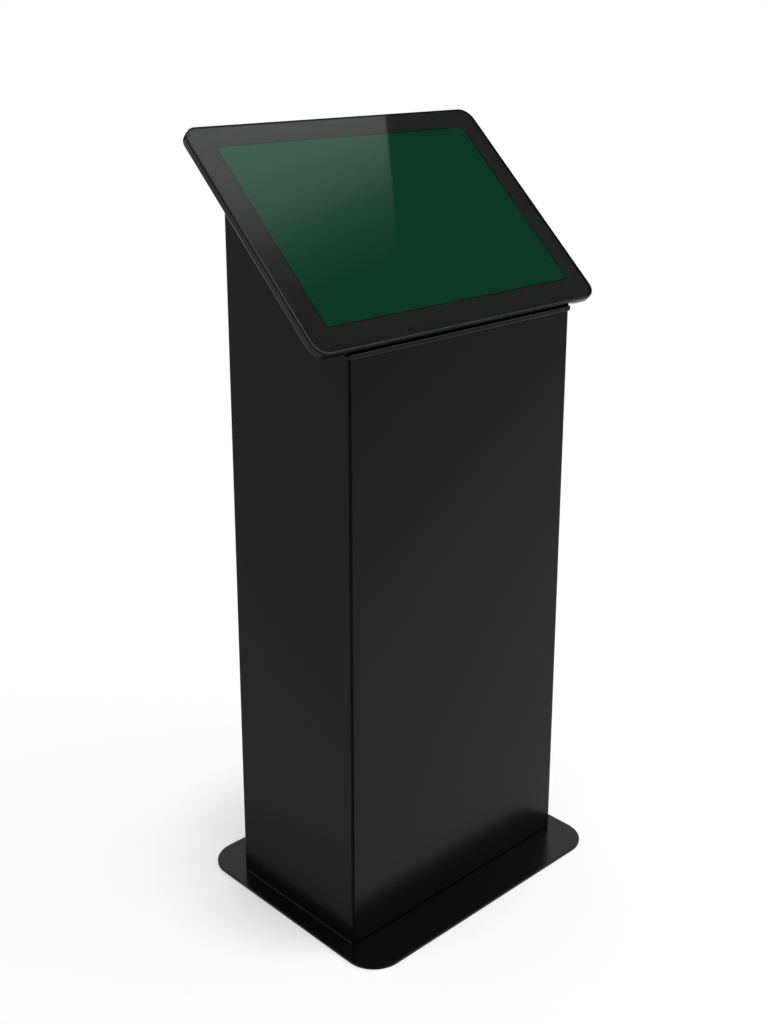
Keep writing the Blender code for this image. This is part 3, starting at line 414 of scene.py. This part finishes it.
head = {
    "tilt": 43.6, "edgeY": -0.127, "edgeZ": 0.8772, "middle": 0.1942,
    "width": 0.551, "length": 0.377, "corner": 0.022, "steps": 13,
    "caseLow": 0.0027, "caseHigh": 0.0138, "glassLow": 0.0150, "glassHigh": 0.0178,
    "screenWidth": 0.474, "screenLength": 0.302, "screenRise": 0.001,
}


def slopeMatrix(middle):
    # turns by the tilt and puts the origin on the slope, this far up from the column's front edge
    c, s = math.cos(math.radians(head["tilt"])), math.sin(math.radians(head["tilt"]))
    return [(1, 0, 0, 0), (0, c, -s, head["edgeY"] + c * middle), (0, s, c, head["edgeZ"] + s * middle)]


headMatrix = slopeMatrix(head["middle"])


def paintedLightEdgeMaterial():
    # painted light on the edge paint: pale at the left and front edges as a painted highlight, fading to
    # black at the top and right ones as painted shade
    # the colour is a painted highlight; the last two values keep all of it at the left and front edges and a
    # tenth of it, as painted shade, at the top and right ones
    paint = {"paintedHighlight": (0.050, 0.050, 0.050), "gloss": 0.9, "span": 0.1, "highlightSides": 1.0, "deep": 0.1}
    material = coatMaterial("edgePaint", paint["paintedHighlight"], paint["gloss"], 0.0, 1500.0, 0.000004)
    tree = material.node_tree
    link = tree.links.new
    matrix = np.array(headMatrix)
    side = np.array([2 / head["width"], *(matrix[1:, 1] * 2 / head["length"])])
    middle = side @ matrix[:, 3]
    across = nodeIn(tree, "ShaderNodeVectorMath", {1: tuple(side)}, operation="DOT_PRODUCT")
    link(objectPlace(tree), across.inputs[0])
    # painted light: the highlight colour in full at the left and front edges, a tenth of it at the top and
    # right ones
    black = rangeIn(tree, middle - paint["span"], middle + paint["span"], paint["highlightSides"], paint["deep"])
    link(across.outputs["Value"], black.inputs["Value"])
    shade = next(n for n in tree.nodes if n.bl_idname == "ShaderNodeMix")
    tone = shade.inputs["B"].links[0].from_socket
    total = nodeIn(tree, "ShaderNodeMath", operation="MULTIPLY")
    link(tone, total.inputs[0])
    link(black.outputs["Result"], total.inputs[1])
    link(total.outputs[0], shade.inputs["B"])
    return material


def buildGlass(edgePaint):
    # a clear plate, and round it the ground edge under black edge paint; as painted shade, the band is
    # broader along the top and right edges. The plate's edge is sunk in the paint, and its faces lie a little
    # lower than the ring's
    pane = {"inset": 0.0006, "paint": 0.0007, "shadeBand": 0.0012, "round": 0.0005,
            "sunk": 0.00003, "lower": 0.00001}
    low, high, steps = head["glassLow"], head["glassHigh"], head["steps"]
    width, length = head["width"] - 2 * pane["inset"], head["length"] - 2 * pane["inset"]
    corner = head["corner"] - pane["inset"]

    def inner(inset, height):
        # the band's extra breadth along the top and right edges is painted shade
        less, shift = 2 * inset + pane["shadeBand"], pane["shadeBand"] / 2
        outline = rimRings(width - less, length - less, corner - inset, [(0, height)], steps)
        return outline - (shift, shift, 0)

    sunk = pane["paint"] - pane["sunk"]
    clear = shell(np.concatenate([inner(sunk, low + pane["lower"]), inner(sunk, high - pane["lower"])]))
    addPiece("frontGlass", moved(clear, headMatrix), clearGlass, "cabinet", ["cover_glass"])
    rounded = rimRings(width, length, corner, platesProfile(low, high, pane["round"], 4)[1:-1], steps)
    edge = np.concatenate([inner(pane["paint"], low), rounded, inner(pane["paint"], high)])
    ring = shell(edge, wrapRows=True)
    addPiece("glassEdgePaint", moved(ring, headMatrix), edgePaint, "cabinet")


def flatRing(outer, inner, low, high):
    # a flat ring between two outlines of as many points
    rings = [atHeight(*ring) for ring in ((outer, low), (outer, high), (inner, high), (inner, low))]
    return shell(np.array(rings), wrapRows=True)


def buildBorderPrint():
    # ink against the glass from its edge inward, then the unlit margin of the screen
    ink = {"gap": 0.00005, "deep": 0.0001, "inset": 0.0007,
           "margin": 0.0011, "corner": 0.0008, "drop": 0.00012}
    high = head["glassLow"] - ink["gap"]
    low = high - ink["deep"]
    edge = roundedOutline(head["width"] - 2 * ink["inset"], head["length"] - 2 * ink["inset"],
                          head["corner"] - ink["inset"], head["steps"])

    def screenOutline(grow):
        width, length = head["screenWidth"] + 2 * grow, head["screenLength"] + 2 * grow
        return roundedOutline(width, length, ink["corner"] + grow, head["steps"]) + (0, head["screenRise"])

    unlit, lit = screenOutline(ink["margin"]), screenOutline(0)
    border = flatRing(edge, unlit, low, high)
    margin = flatRing(unlit, lit, low - ink["drop"], high - ink["drop"])
    addPiece("borderPrint", moved(border, headMatrix), inkBorder, "cabinet")
    addPiece("screenMargin", moved(margin, headMatrix), marginBlack, "cabinet")


def caseOutline(inside, outside):
    # the head's outline and its outward directions, with four more points at the front where the bend changes
    outline = roundedOutline(head["width"], head["length"], head["corner"], head["steps"])
    outward = cornerDirections(head["steps"]).reshape(-1, 2)
    across = np.array([-outside, -inside, inside, outside])
    more = np.column_stack([across, np.full(4, -head["length"] / 2)])
    forward = np.tile((0.0, -1.0), (4, 1))
    afterThird = 3 * head["steps"]  # the front lies between the third corner and the fourth
    return np.insert(outline, afterThird, more, 0), np.insert(outward, afterThird, forward, 0)


def buildCase():
    # a shallow pan: an under edge that is rounder above the ledge, then an upright side and a flat rim
    case = {"bend": 0.0040, "more": 0.0055, "rounder": (0.214, 0.232), "fade": 6, "steps": 8, "under": 0.012,
            "above": 0.0003, "rim": 0.0002, "flat": 0.0005, "wall": 0.004, "floor": 0.0012}
    low, high = head["caseLow"], head["caseHigh"]
    inside, outside = case["rounder"]
    outline, outward = caseOutline(inside, outside)
    middle = np.clip((outside - np.abs(outline[:, 0])) / (outside - inside), 0, 1)
    ahead = np.clip(-outward[:, 1], 0, 1) ** case["fade"] * middle
    bend = case["bend"] + case["more"] * ahead

    def ring(inset, height):
        flat = outline - np.broadcast_to(inset, bend.shape)[:, None] * outward
        return np.column_stack([flat, np.broadcast_to(height, bend.shape)])

    rings = [ring(case["under"], low)]
    for a in np.radians(np.linspace(270, 180, case["steps"])):
        rings.append(ring(bend * (1 + math.cos(a)), low + bend * (1 + math.sin(a))))
    rings += [ring(0.0, low + bend + case["above"]), ring(0.0, high - case["flat"])]
    rings += [ring(*point) for point in edgeRound(case["rim"], high - case["rim"], case["rim"], 180, 90, 4)]
    rings += [ring(case["flat"], high), ring(case["wall"], high), ring(case["wall"], low + case["floor"])]
    pan = moved(shell(np.array(rings)), headMatrix)
    addPiece("caseShell", pan, caseCoat, "cabinet", ["head_case"])


def buildTray():
    # a sheet on the slope, and along its front edge and corners an upright ledge with a rounded top and foot
    tray = {"half": 0.2242, "front": -0.130, "corner": 0.009, "low": 0.0003, "high": 0.0024,
            "middle": 0.1778, "length": 0.3543, "trim": 0.0004, "edge": 0.0004, "rounder": 0.002,
            "top": 0.8838, "lowest": 0.8771, "wall": 0.0021, "round": 0.0012, "above": 0.0003, "lift": 0.0002}
    tilt = math.radians(head["tilt"])
    profile = platesProfile(tray["low"], tray["high"], tray["edge"], 3)
    sheet = rimRings(2 * tray["half"] - tray["trim"], tray["length"] - tray["trim"],
                     tray["corner"] + tray["rounder"], profile, 9)
    turn = np.radians(np.linspace(180, 270, 10))
    arc = tray["corner"] * np.stack([np.cos(turn), np.sin(turn)], -1)
    left = arc + (-tray["half"] + tray["corner"], tray["front"] + tray["corner"])
    path = np.concatenate([left, left[::-1] * (-1, 1)])
    out = np.concatenate([arc, arc[::-1] * (-1, 1)]) / tray["corner"]
    slope = head["edgeZ"] + (path[:, 1] - head["edgeY"]) * math.tan(tilt)
    foot = np.maximum(slope + tray["low"] / math.cos(tilt), tray["lowest"])
    half = tray["wall"] / 2
    rings = []
    for inset, lift in edgeRound(tray["round"], tray["round"], tray["round"], 270, 180, 6):
        rings.append(np.column_stack([path - inset * out, foot + lift]))
    for inset, height in edgeRound(half, tray["top"] - half, half, 180, 0, 7):
        above = np.maximum(height, foot + tray["round"] + tray["above"])
        rings.append(np.column_stack([path - inset * out, above]))
    rings.append(np.column_stack([path - tray["wall"] * out, foot + tray["lift"]]))
    ledge = shell(np.array(rings).transpose(1, 0, 2))
    shelf = together([moved(shell(sheet), slopeMatrix(tray["middle"])), ledge])
    addPiece("trayShelf", shelf, trayCoat, "cabinet", ["support_tray"])


def screenMaterial():
    # the lit field: plain dark green over a fine pixel grid, and green in what it mirrors of a lamp
    lit = {"mirror": (0.0, 0.074, 0.045, 1), "pixels": 2000.0, "strength": 1.1,
           "pale": (0.0040, 0.0400, 0.0208, 1), "dark": (0.0036, 0.0376, 0.0192, 1)}
    material, tree, shader = newMaterial("litScreen", Roughness=0.04, Metallic=1.0)
    link = tree.links.new
    shader.inputs["Base Color"].default_value = lit["mirror"]
    grid = nodeIn(tree, "ShaderNodeTexChecker", {"Scale": lit["pixels"]})
    grid.inputs["Color1"].default_value = lit["pale"]
    grid.inputs["Color2"].default_value = lit["dark"]
    link(objectPlace(tree), grid.inputs["Vector"])
    link(grid.outputs["Color"], shader.inputs["Emission Color"])
    shader.inputs["Emission Strength"].default_value = lit["strength"]
    return material


buildGlass(paintedLightEdgeMaterial())
buildBorderPrint()
buildCase()
dressNode("lcd_panel", screenMaterial(), 0.0)
dressNode("glass_gasket", softRubber, 0.0)
buildTray()
print("head built")


# column and base

panel = {"half": 0.2162, "low": 0.0066, "high": 0.8769, "front": -0.127, "deep": 0.002,
         "corner": 0.0006, "edge": 0.0005}


def buildBase():
    # a flat plate with wide corners and thinly rounded edges
    base = {"width": 0.490, "length": 0.390, "corner": 0.048, "low": 0.001, "high": 0.005, "edge": 0.0007}
    profile = platesProfile(base["low"], base["high"], base["edge"], 4)
    rings = rimRings(base["width"], base["length"], base["corner"], profile, 25)
    addPiece("basePlate", shell(rings), baseCoat, "cabinet", ["base_plate"])


def buildStuds():
    # welded studs, their thread as rings of rising and falling radius
    stud = {"x": 0.200, "y": 0.075, "low": 0.005, "high": 0.020, "radius": 0.004, "pitch": 0.00125,
            "weld": 0.0045, "clear": 0.0001, "plain": 0.001, "end": 0.0006, "groove": 0.0005, "point": 0.001}
    heights = np.arange(stud["low"] + stud["plain"], stud["high"] - stud["end"], stud["pitch"] / 2)
    radii = np.where(np.arange(len(heights)) % 2, stud["radius"] - stud["groove"], stud["radius"])
    weld = (stud["weld"], stud["low"] + stud["clear"])
    points, faces = lathe([weld, *zip(radii, heights), (stud["radius"] - stud["point"], stud["high"])], 20)
    spots = [(x, y, 0) for x in (-stud["x"], stud["x"]) for y in (-stud["y"], stud["y"])]
    studs = together([(points + np.array(spot), faces) for spot in spots])
    addPiece("footStuds", studs, platedSteel, "cabinet")


def buildFrontPanel():
    # a plate hung just off the base, drawn flat and stood upright
    height = panel["high"] - panel["low"]
    upright = [(1, 0, 0, 0), (0, 0, -1, panel["front"] + panel["deep"]),
               (0, 1, 0, (panel["low"] + panel["high"]) / 2)]
    profile = platesProfile(0, panel["deep"], panel["edge"], 4)
    plate = shell(rimRings(2 * panel["half"], height, panel["corner"], profile, 3))
    addPiece("frontPanel", moved(plate, upright), powderCoat, "cabinet", ["front_panel"])


def buildSeamShade():
    # painted shade: dark strips in the seams along the front panel's upright edges stand for the shadow in
    # the gaps; one outline with its front corner cut, drawn up
    seamShade = {"inner": 0.2160, "outer": 0.2177, "front": -0.1264, "back": -0.1240, "cut": 0.0005, "lip": 0.0008,
            "short": 0.001}
    outline = np.array([
        (seamShade["inner"], seamShade["back"] - seamShade["lip"]), (seamShade["inner"], seamShade["front"]),
        (seamShade["outer"] - seamShade["cut"], seamShade["front"]), (seamShade["outer"], seamShade["front"] + seamShade["cut"]),
        (seamShade["outer"], seamShade["back"]), (seamShade["inner"] + seamShade["cut"], seamShade["back"])])
    ends = (panel["low"], panel["high"] - seamShade["short"])
    shadeStrips = [shell(np.array([atHeight(outline * (side, 1), z) for z in ends])) for side in (-1, 1)]
    addPiece("seamShadeStrips", together(shadeStrips), seamShadeBlack, "cabinet")


def buildFillets():
    # paint fillets along the feet of the flanks: a quarter circle and its centre, drawn from front to back
    fillet = {"radius": 0.0015, "x": 0.218, "z": 0.005, "half": 0.1225}
    turn = np.radians(np.linspace(0, 90, 6))
    bead = np.concatenate([fillet["radius"] * np.stack([np.cos(turn), np.sin(turn)], -1), [(0, 0)]])
    beads = []
    for side in (-1, 1):
        x, z = side * (fillet["x"] + bead[:, 0]), fillet["z"] + bead[:, 1]
        rings = [np.column_stack([x, np.full(len(bead), y), z]) for y in (-fillet["half"], fillet["half"])]
        beads.append(shell(np.array(rings)))
    addPiece("footFillets", together(beads), powderCoat, "cabinet")


def screwHead():
    # a button head with a six-sided recess: rings of (radius, height), the inner ones pressed to a hexagon
    screw = {"half": 0.0035, "rise": 0.0020, "key": 0.0020, "count": 24, "rim": 0.0003,
             "dome": 60, "flatter": 0.62, "mouth": 1.06, "bevel": 0.0002, "floor": 0.0007,
             "dimple": 0.0005, "centre": 0.4}
    turn = np.arange(screw["count"]) / screw["count"] * math.tau
    hexagon = math.cos(math.pi / 6) / np.cos(turn % (math.pi / 3) - math.pi / 6)
    dome = np.radians(np.linspace(0, screw["dome"], 6))
    half, key, rise = screw["half"], screw["key"], screw["rise"]
    rings = [(half, 0.0, 0.0)]
    for a in dome:
        height = screw["rim"] + (rise - screw["rim"]) * math.sin(a) / math.sin(dome[-1])
        rings.append((half * math.cos(a * screw["flatter"]), height, 0.0))
    rings += [(key * screw["mouth"], rise, 0.6), (key, rise - screw["bevel"], 1.0),
              (key, screw["floor"], 1.0), (key * screw["centre"], screw["dimple"], 1.0)]
    shape = np.array(rings)
    radius = shape[:, 0, None] * (1 + shape[:, 2, None] * (hexagon - 1))
    height = np.repeat(shape[:, 1, None], len(turn), 1)
    return np.stack([radius * np.cos(turn), height, radius * np.sin(turn)], -1)


def buildScrews():
    # heads on the rear flanges and on both leaves of each hinge
    fixing = {"flange": 0.2005, "rear": 0.12702, "rows": (0.035, 0.125, 0.885, 1.085), "leaf": 0.12932,
              "doorLeaf": 0.1690, "frameLeaf": 0.1970, "hinges": (0.240, 0.700), "holes": (0.012, 0.048)}
    holes = [low + step for low in fixing["hinges"] for step in fixing["holes"]]
    flange = [(side * fixing["flange"], fixing["rear"], z) for side in (-1, 1) for z in fixing["rows"]]
    spots = {"cabinet": flange + [(fixing["frameLeaf"], fixing["leaf"], z) for z in holes],
             "door": [(fixing["doorLeaf"], fixing["leaf"], z) for z in holes]}
    one = screwHead()
    for body, places in spots.items():
        heads = [shell(one + np.array(place)) for place in places]
        addPiece(body + "Screws", together(heads), screwBlack, body, sharp=28)


buildBase()
buildStuds()
buildFrontPanel()
buildSeamShade()
buildFillets()
buildScrews()

# how far the edges of the other nodes are rounded, by finish
finishes = (
    (powderCoat, 0.0004, (
        "left_side_panel", "right_side_panel", "rear_upper_panel", "rear_lower_panel",
        "upper_door_stop", "lower_door_stop", "service_door", "lower_hinge_frame_leaf",
        "upper_hinge_frame_leaf", "lower_hinge_door_leaf", "upper_hinge_door_leaf")),
    (platedSteel, 0.0003, (
        "lower_hinge_pin", "upper_hinge_pin", "lock_body", "lock_nut", "lock_cam", "cam_nut",
        "foot_nut_1", "foot_nut_2", "foot_nut_3", "foot_nut_4", "inlet_pin_1", "inlet_pin_2", "inlet_pin_3")),
    (lockNickel, 0.0002, ("lock_plug",)),
    (softRubber, 0.0001, ("floor_pad_1", "floor_pad_2", "floor_pad_3", "floor_pad_4")),
    (mouldedBlack, 0.0004, ("power_supply", "power_inlet", "switch_housing", "switch_rocker")),
    (zincSheet, 0.0003, (
        "lock_keeper", "left_lcd_bracket", "right_lcd_bracket", "electronics_tub", "equipment_shelf")),
    (solderMask, 0.0, ("display_driver_board", "touch_controller")),
    (darkAnodised, 0.0003, ("media_player",)),
)
for material, edge, names in finishes:
    for name in names:
        dressNode(name, material, edge)
print("column and equipment built")


# studio: floor, world, key light, camera, and cards that only gloss and glass see

view = {"place": (-1.33385, -1.36345, 1.29848), "pitch": 16.356, "yaw": 43.557,
        "focal": 1356.35, "axisRow": 411.2, "picture": (768, 1024), "sensor": 36.0}


def buildFloor():
    # pale paper whose own glow grows with the distance from the base, so that the shadow stays near it
    floor = {"half": 12.0, "tone": (0.965, 0.965, 0.965, 1), "middle": (-0.05, 0.075, 0),
             "near": (0.20, 0.32, 0.28, 0.70), "far": (0.32, 2.6, 0.0, 0.30)}
    half = floor["half"]
    corners = [(-half, -half, 0), (half, -half, 0), (half, half, 0), (-half, half, 0)]
    mesh = bpy.data.meshes.new("studioFloor")
    mesh.from_pydata(corners, [], [(0, 1, 2, 3)])
    material, tree, shader = newMaterial("studioPaper", Roughness=0.9, **{"Specular IOR Level": 0.0})
    shader.inputs["Base Color"].default_value = floor["tone"]
    link = tree.links.new
    reach = nodeIn(tree, "ShaderNodeVectorMath", {1: floor["middle"]}, operation="DISTANCE")
    link(objectPlace(tree), reach.inputs[0])
    fade = nodeIn(tree, "ShaderNodeMath", operation="ADD", use_clamp=True)
    for index, span in enumerate(("near", "far")):
        part = rangeIn(tree, *floor[span])
        link(reach.outputs["Value"], part.inputs["Value"])
        link(part.outputs["Result"], fade.inputs[index])
    glow = nodeIn(tree, "ShaderNodeEmission", {"Color": (1, 1, 1, 1), "Strength": 1.0})
    mix = nodeIn(tree, "ShaderNodeMixShader")
    link(fade.outputs[0], mix.inputs["Fac"])
    link(shader.outputs["BSDF"], mix.inputs[1])
    link(glow.outputs["Emission"], mix.inputs[2])
    link(mix.outputs["Shader"], tree.nodes["Material Output"].inputs["Surface"])
    mesh.materials.append(material)
    paper = bpy.data.objects.new("studioFloor", mesh)
    bpy.context.scene.collection.objects.link(paper)


def buildWorld():
    studio = {"level": 0.96}  # light that falls on the object; camera and mirrored rays meet plain white
    world = bpy.data.worlds.new("studio")
    bpy.context.scene.world = world
    world.use_nodes = True
    tree = world.node_tree
    link = tree.links.new
    background = tree.nodes["Background"]
    path = nodeIn(tree, "ShaderNodeLightPath")
    seen = nodeIn(tree, "ShaderNodeMath", operation="MAXIMUM")
    link(path.outputs["Is Camera Ray"], seen.inputs[0])
    link(path.outputs["Is Glossy Ray"], seen.inputs[1])
    through = nodeIn(tree, "ShaderNodeMath", operation="MAXIMUM")
    link(seen.outputs[0], through.inputs[0])
    link(path.outputs["Is Transmission Ray"], through.inputs[1])
    strength = nodeIn(tree, "ShaderNodeMix", {"A": studio["level"], "B": 1.0}, data_type="FLOAT")
    link(through.outputs[0], strength.inputs["Factor"])
    link(strength.outputs["Result"], background.inputs["Strength"])
    background.inputs["Color"].default_value = (1, 1, 1, 1)


def buildKey():
    # a softbox that the glass doesn't mirror: its light goes on through the glass to the print below
    key = {"place": (2.2, -2.1, 2.4), "target": (0, 0, 0.5), "size": (2.6, 2.6), "power": 58}
    data = bpy.data.lights.new("keySoftbox", "AREA")
    data.shape = "RECTANGLE"
    data.size, data.size_y = key["size"]
    data.energy = key["power"]
    lamp = bpy.data.objects.new("keySoftbox", data)
    bpy.context.scene.collection.objects.link(lamp)
    lamp.location = key["place"]
    lamp.rotation_euler = (Vector(key["target"]) - Vector(key["place"])).to_track_quat("-Z", "Y").to_euler()
    glass = bpy.data.objects["frontGlass"]
    glass.visible_shadow = False
    group = bpy.data.collections.new("keySoftboxOff")
    group.objects.link(glass)
    group.collection_objects[0].light_linking.link_state = "EXCLUDE"
    lamp.light_linking.receiver_collection = group


def stageCard(name, points, uv, material):
    # a grid of points as one card with its own flat coordinates, which only gloss and glass see
    rows, columns = points.shape[:2]
    mesh = bpy.data.meshes.new(name)
    mesh.from_pydata(points.reshape(-1, 3).tolist(), [], gridFaces(rows, columns, False))
    layer = mesh.uv_layers.new(name="flat")
    corner = np.empty(len(mesh.loops), dtype=np.int32)
    mesh.loops.foreach_get("vertex_index", corner)
    layer.data.foreach_set("uv", uv.reshape(-1, 2)[corner].astype(np.float32).ravel())
    mesh.materials.append(material)
    card = bpy.data.objects.new(name, mesh)
    bpy.context.scene.collection.objects.link(card)
    card.visible_camera = False
    card.visible_diffuse = False
    card.visible_shadow = False
    card.visible_volume_scatter = False
    return card


def glowMaterial(name, level=1.0):
    material = bpy.data.materials.new(name)
    material.use_nodes = True
    tree = material.node_tree
    tree.nodes.remove(tree.nodes["Principled BSDF"])
    glow = nodeIn(tree, "ShaderNodeEmission", {"Strength": level})
    tree.links.new(glow.outputs["Emission"], tree.nodes["Material Output"].inputs["Surface"])
    return material, tree, glow


def levelCard(name, x, y, height, material):
    # a flat card between two values of x and two of y
    x, y = np.meshgrid(x, y)
    points = np.stack([x, y, np.full_like(x, height, dtype=float)], -1)
    return stageCard(name, points, points[..., :2], material)


def buildCeiling():
    # a dim ceiling, so that the glass stays dark where no lit panel is mirrored
    ceiling = {"height": 3.6, "x": (-5.5, 5.5), "y": (-14.0, 0.5), "level": 0.004}
    material = glowMaterial("dimCeiling", ceiling["level"])[0]
    levelCard("dimCeiling", ceiling["x"], ceiling["y"], ceiling["height"], material)


def buildFlags():
    # dim cards far out on both sides, which the glass mirrors when it is seen edge on, and one behind
    flag = {"reach": 5.5, "y": (-8.0, 2.0), "z": (0.01, 3.6), "level": 0.06, "back": 7.0, "x": (-2.0, 6.0)}
    material = glowMaterial("dimFlags", flag["level"])[0]
    y, z = np.meshgrid(flag["y"], flag["z"])
    for name, side in (("flagLeft", -1), ("flagRight", 1)):
        points = np.stack([np.full_like(y, side * flag["reach"]), y, z], -1)
        stageCard(name, points, points[..., 1:], material)
    x, z = np.meshgrid(flag["x"], flag["z"])
    points = np.stack([x, np.full_like(x, flag["back"]), z], -1)
    stageCard("flagBack", points, points[..., ::2], material)


def buildSidePaper():
    # what the panels mirror of the floor: on the left dimmer to the back, in front dimmer with distance;
    # each span is a place's start and end and the levels there
    paper = {"half": 12.0, "height": 0.003, "slant": (1.2213, 1.0, 0), "shift": 0.2662,
             "aside": (-0.19, -0.22), "left": (-0.25, 0.25, 0.68, 0.53), "foot": (-0.25, -0.40, 0.54, 1.0),
             "front": (-0.5, -2.6, 0.98, 0.62), "back": (0.0, 0.4, 1.0, 1.15)}
    material, tree, glow = glowMaterial("sidePaper")
    link = tree.links.new
    place = nodeIn(tree, "ShaderNodeSeparateXYZ")
    link(objectPlace(tree), place.inputs[0])
    slant = nodeIn(tree, "ShaderNodeVectorMath", {1: paper["slant"]}, operation="DOT_PRODUCT")
    link(objectPlace(tree), slant.inputs[0])
    across = nodeIn(tree, "ShaderNodeMath", {1: paper["shift"]}, operation="ADD")
    link(slant.outputs["Value"], across.inputs[0])
    left, foot, back, aside = (rangeIn(tree, *paper[span]) for span in ("left", "foot", "back", "aside"))
    front = rangeIn(tree, *paper["front"], interpolation_type="SMOOTHSTEP")
    link(across.outputs[0], left.inputs["Value"])
    for axis, part in (("X", aside), ("X", foot), ("Y", front), ("Y", back)):
        link(place.outputs[axis], part.inputs["Value"])
    power = nodeIn(tree, "ShaderNodeMix", data_type="FLOAT")
    link(aside.outputs["Result"], power.inputs["Factor"])
    for socket, parts in (("A", (front, back)), ("B", (left, foot))):
        total = nodeIn(tree, "ShaderNodeMath", operation="MULTIPLY")
        for index, part in enumerate(parts):
            link(part.outputs["Result"], total.inputs[index])
        link(total.outputs[0], power.inputs[socket])
    link(power.outputs["Result"], glow.inputs["Strength"])
    reach = (-paper["half"], paper["half"])
    levelCard("sidePaper", reach, reach, paper["height"], material).visible_transmission = False


def viewRays(column, row):
    # directions from the camera through points of the picture, given in pixels
    yaw, pitch = math.radians(view["yaw"]), math.radians(view["pitch"])
    ahead = np.array([math.sin(yaw) * math.cos(pitch), math.cos(yaw) * math.cos(pitch), -math.sin(pitch)])
    right = np.array([math.cos(yaw), -math.sin(yaw), 0])
    up = np.cross(right, ahead)
    across = ((column - view["picture"][0] / 2) / view["focal"])[..., None] * right
    rays = ahead + across - ((row - view["axisRow"]) / view["focal"])[..., None] * up
    return rays / np.linalg.norm(rays, axis=-1, keepdims=True)


def mirroredPoints(column, row, height):
    # where picture rays reach this height after the glass turns back their part along its normal
    rays = viewRays(column, row)
    tilt = math.radians(head["tilt"])
    normal = np.array([0, -math.sin(tilt), math.cos(tilt)])
    onGlass = np.array([0, head["edgeY"], head["edgeZ"]]) + head["glassHigh"] * normal
    start = np.array(view["place"])
    reach = ((onGlass - start) @ normal) / (rays @ normal)
    hit = start + reach[..., None] * rays
    back = rays - 2 * (rays @ normal)[..., None] * normal
    return hit + ((height - hit[..., 2]) / back[..., 2])[..., None] * back


def windowMaterial(window):
    # lit on the left of a leaning edge, and fading down and across the picture along a ramp
    material, tree, glow = glowMaterial("windowPanel")
    link = tree.links.new
    place = nodeIn(tree, "ShaderNodeSeparateXYZ")
    link(nodeIn(tree, "ShaderNodeTexCoord").outputs["UV"], place.inputs[0])
    x0, y0, x1, y1 = window["edge"]
    lean = (x1 - x0) / (y1 - y0)
    line = nodeIn(tree, "ShaderNodeMath", {1: -lean, 2: lean * y0 - x0}, operation="MULTIPLY_ADD")
    link(place.outputs["Y"], line.inputs[0])
    side = nodeIn(tree, "ShaderNodeMath", operation="ADD")
    link(place.outputs["X"], side.inputs[0])
    link(line.outputs[0], side.inputs[1])
    lit = rangeIn(tree, -window["soft"], window["soft"], 1.0, 0.0)
    link(side.outputs[0], lit.inputs["Value"])
    fall = nodeIn(tree, "ShaderNodeMath", {1: window["slant"]}, operation="MULTIPLY_ADD")
    link(place.outputs["X"], fall.inputs[0])
    link(place.outputs["Y"], fall.inputs[2])
    along = rangeIn(tree, *window["fade"])
    link(fall.outputs[0], along.inputs["Value"])
    fade = nodeIn(tree, "ShaderNodeValToRGB")
    link(along.outputs["Result"], fade.inputs["Fac"])
    ramp = fade.color_ramp.elements
    for index, end in enumerate((window["stops"][0], window["stops"][-1])):
        ramp[index].position, ramp[index].color = end[0], (end[1], end[1], end[1], 1)
    for spot, value in window["stops"][1:-1]:
        ramp.new(spot).color = (value, value, value, 1)
    power = nodeIn(tree, "ShaderNodeMath", operation="MULTIPLY")
    link(lit.outputs["Result"], power.inputs[0])
    link(fade.outputs["Color"], power.inputs[1])
    scaled = nodeIn(tree, "ShaderNodeMath", {1: window["level"], 2: window["dim"]}, operation="MULTIPLY_ADD")
    link(power.outputs[0], scaled.inputs[0])
    link(scaled.outputs[0], glow.inputs["Strength"])
    return material


def buildWindowPanel():
    # the lit panel that the glass mirrors, laid out in the picture's columns and rows
    window = {"height": 3.2, "columns": (150, 640, 40), "rows": (80, 380, 30), "edge": (386, 120, 398.5, 250),
              "soft": 1.5, "slant": 0.48, "fade": (238.0, 468.0), "level": 0.49, "dim": 0.004,
              "stops": ((0.0, 0.95), (0.17, 0.84), (0.30, 0.715), (0.41, 0.57), (0.54, 0.355), (0.63, 0.20),
                        (0.72, 0.113), (0.82, 0.053), (0.90, 0.02), (1.0, 0.0))}
    column, row = np.meshgrid(np.linspace(*window["columns"]), np.linspace(*window["rows"]))
    points = mirroredPoints(column, row, window["height"])
    stageCard("windowPanel", points, np.stack([column, row], -1), windowMaterial(window))


def buildCamera():
    height = view["picture"][1]
    data = bpy.data.cameras.new("photoCamera")
    data.sensor_fit = "VERTICAL"
    data.sensor_height = view["sensor"]
    data.lens = view["focal"] / height * view["sensor"]
    data.shift_y = (view["axisRow"] - height / 2) / height
    data.clip_end = 100
    camera = bpy.data.objects.new("photoCamera", data)
    bpy.context.scene.collection.objects.link(camera)
    camera.location = view["place"]
    camera.rotation_euler = (math.radians(90 - view["pitch"]), 0, -math.radians(view["yaw"]))
    bpy.context.scene.camera = camera


buildFloor()
buildWorld()
buildKey()
buildCeiling()
buildFlags()
buildSidePaper()
buildWindowPanel()
buildCamera()
bpy.context.scene.view_settings.view_transform = "Standard"
print("studio built")
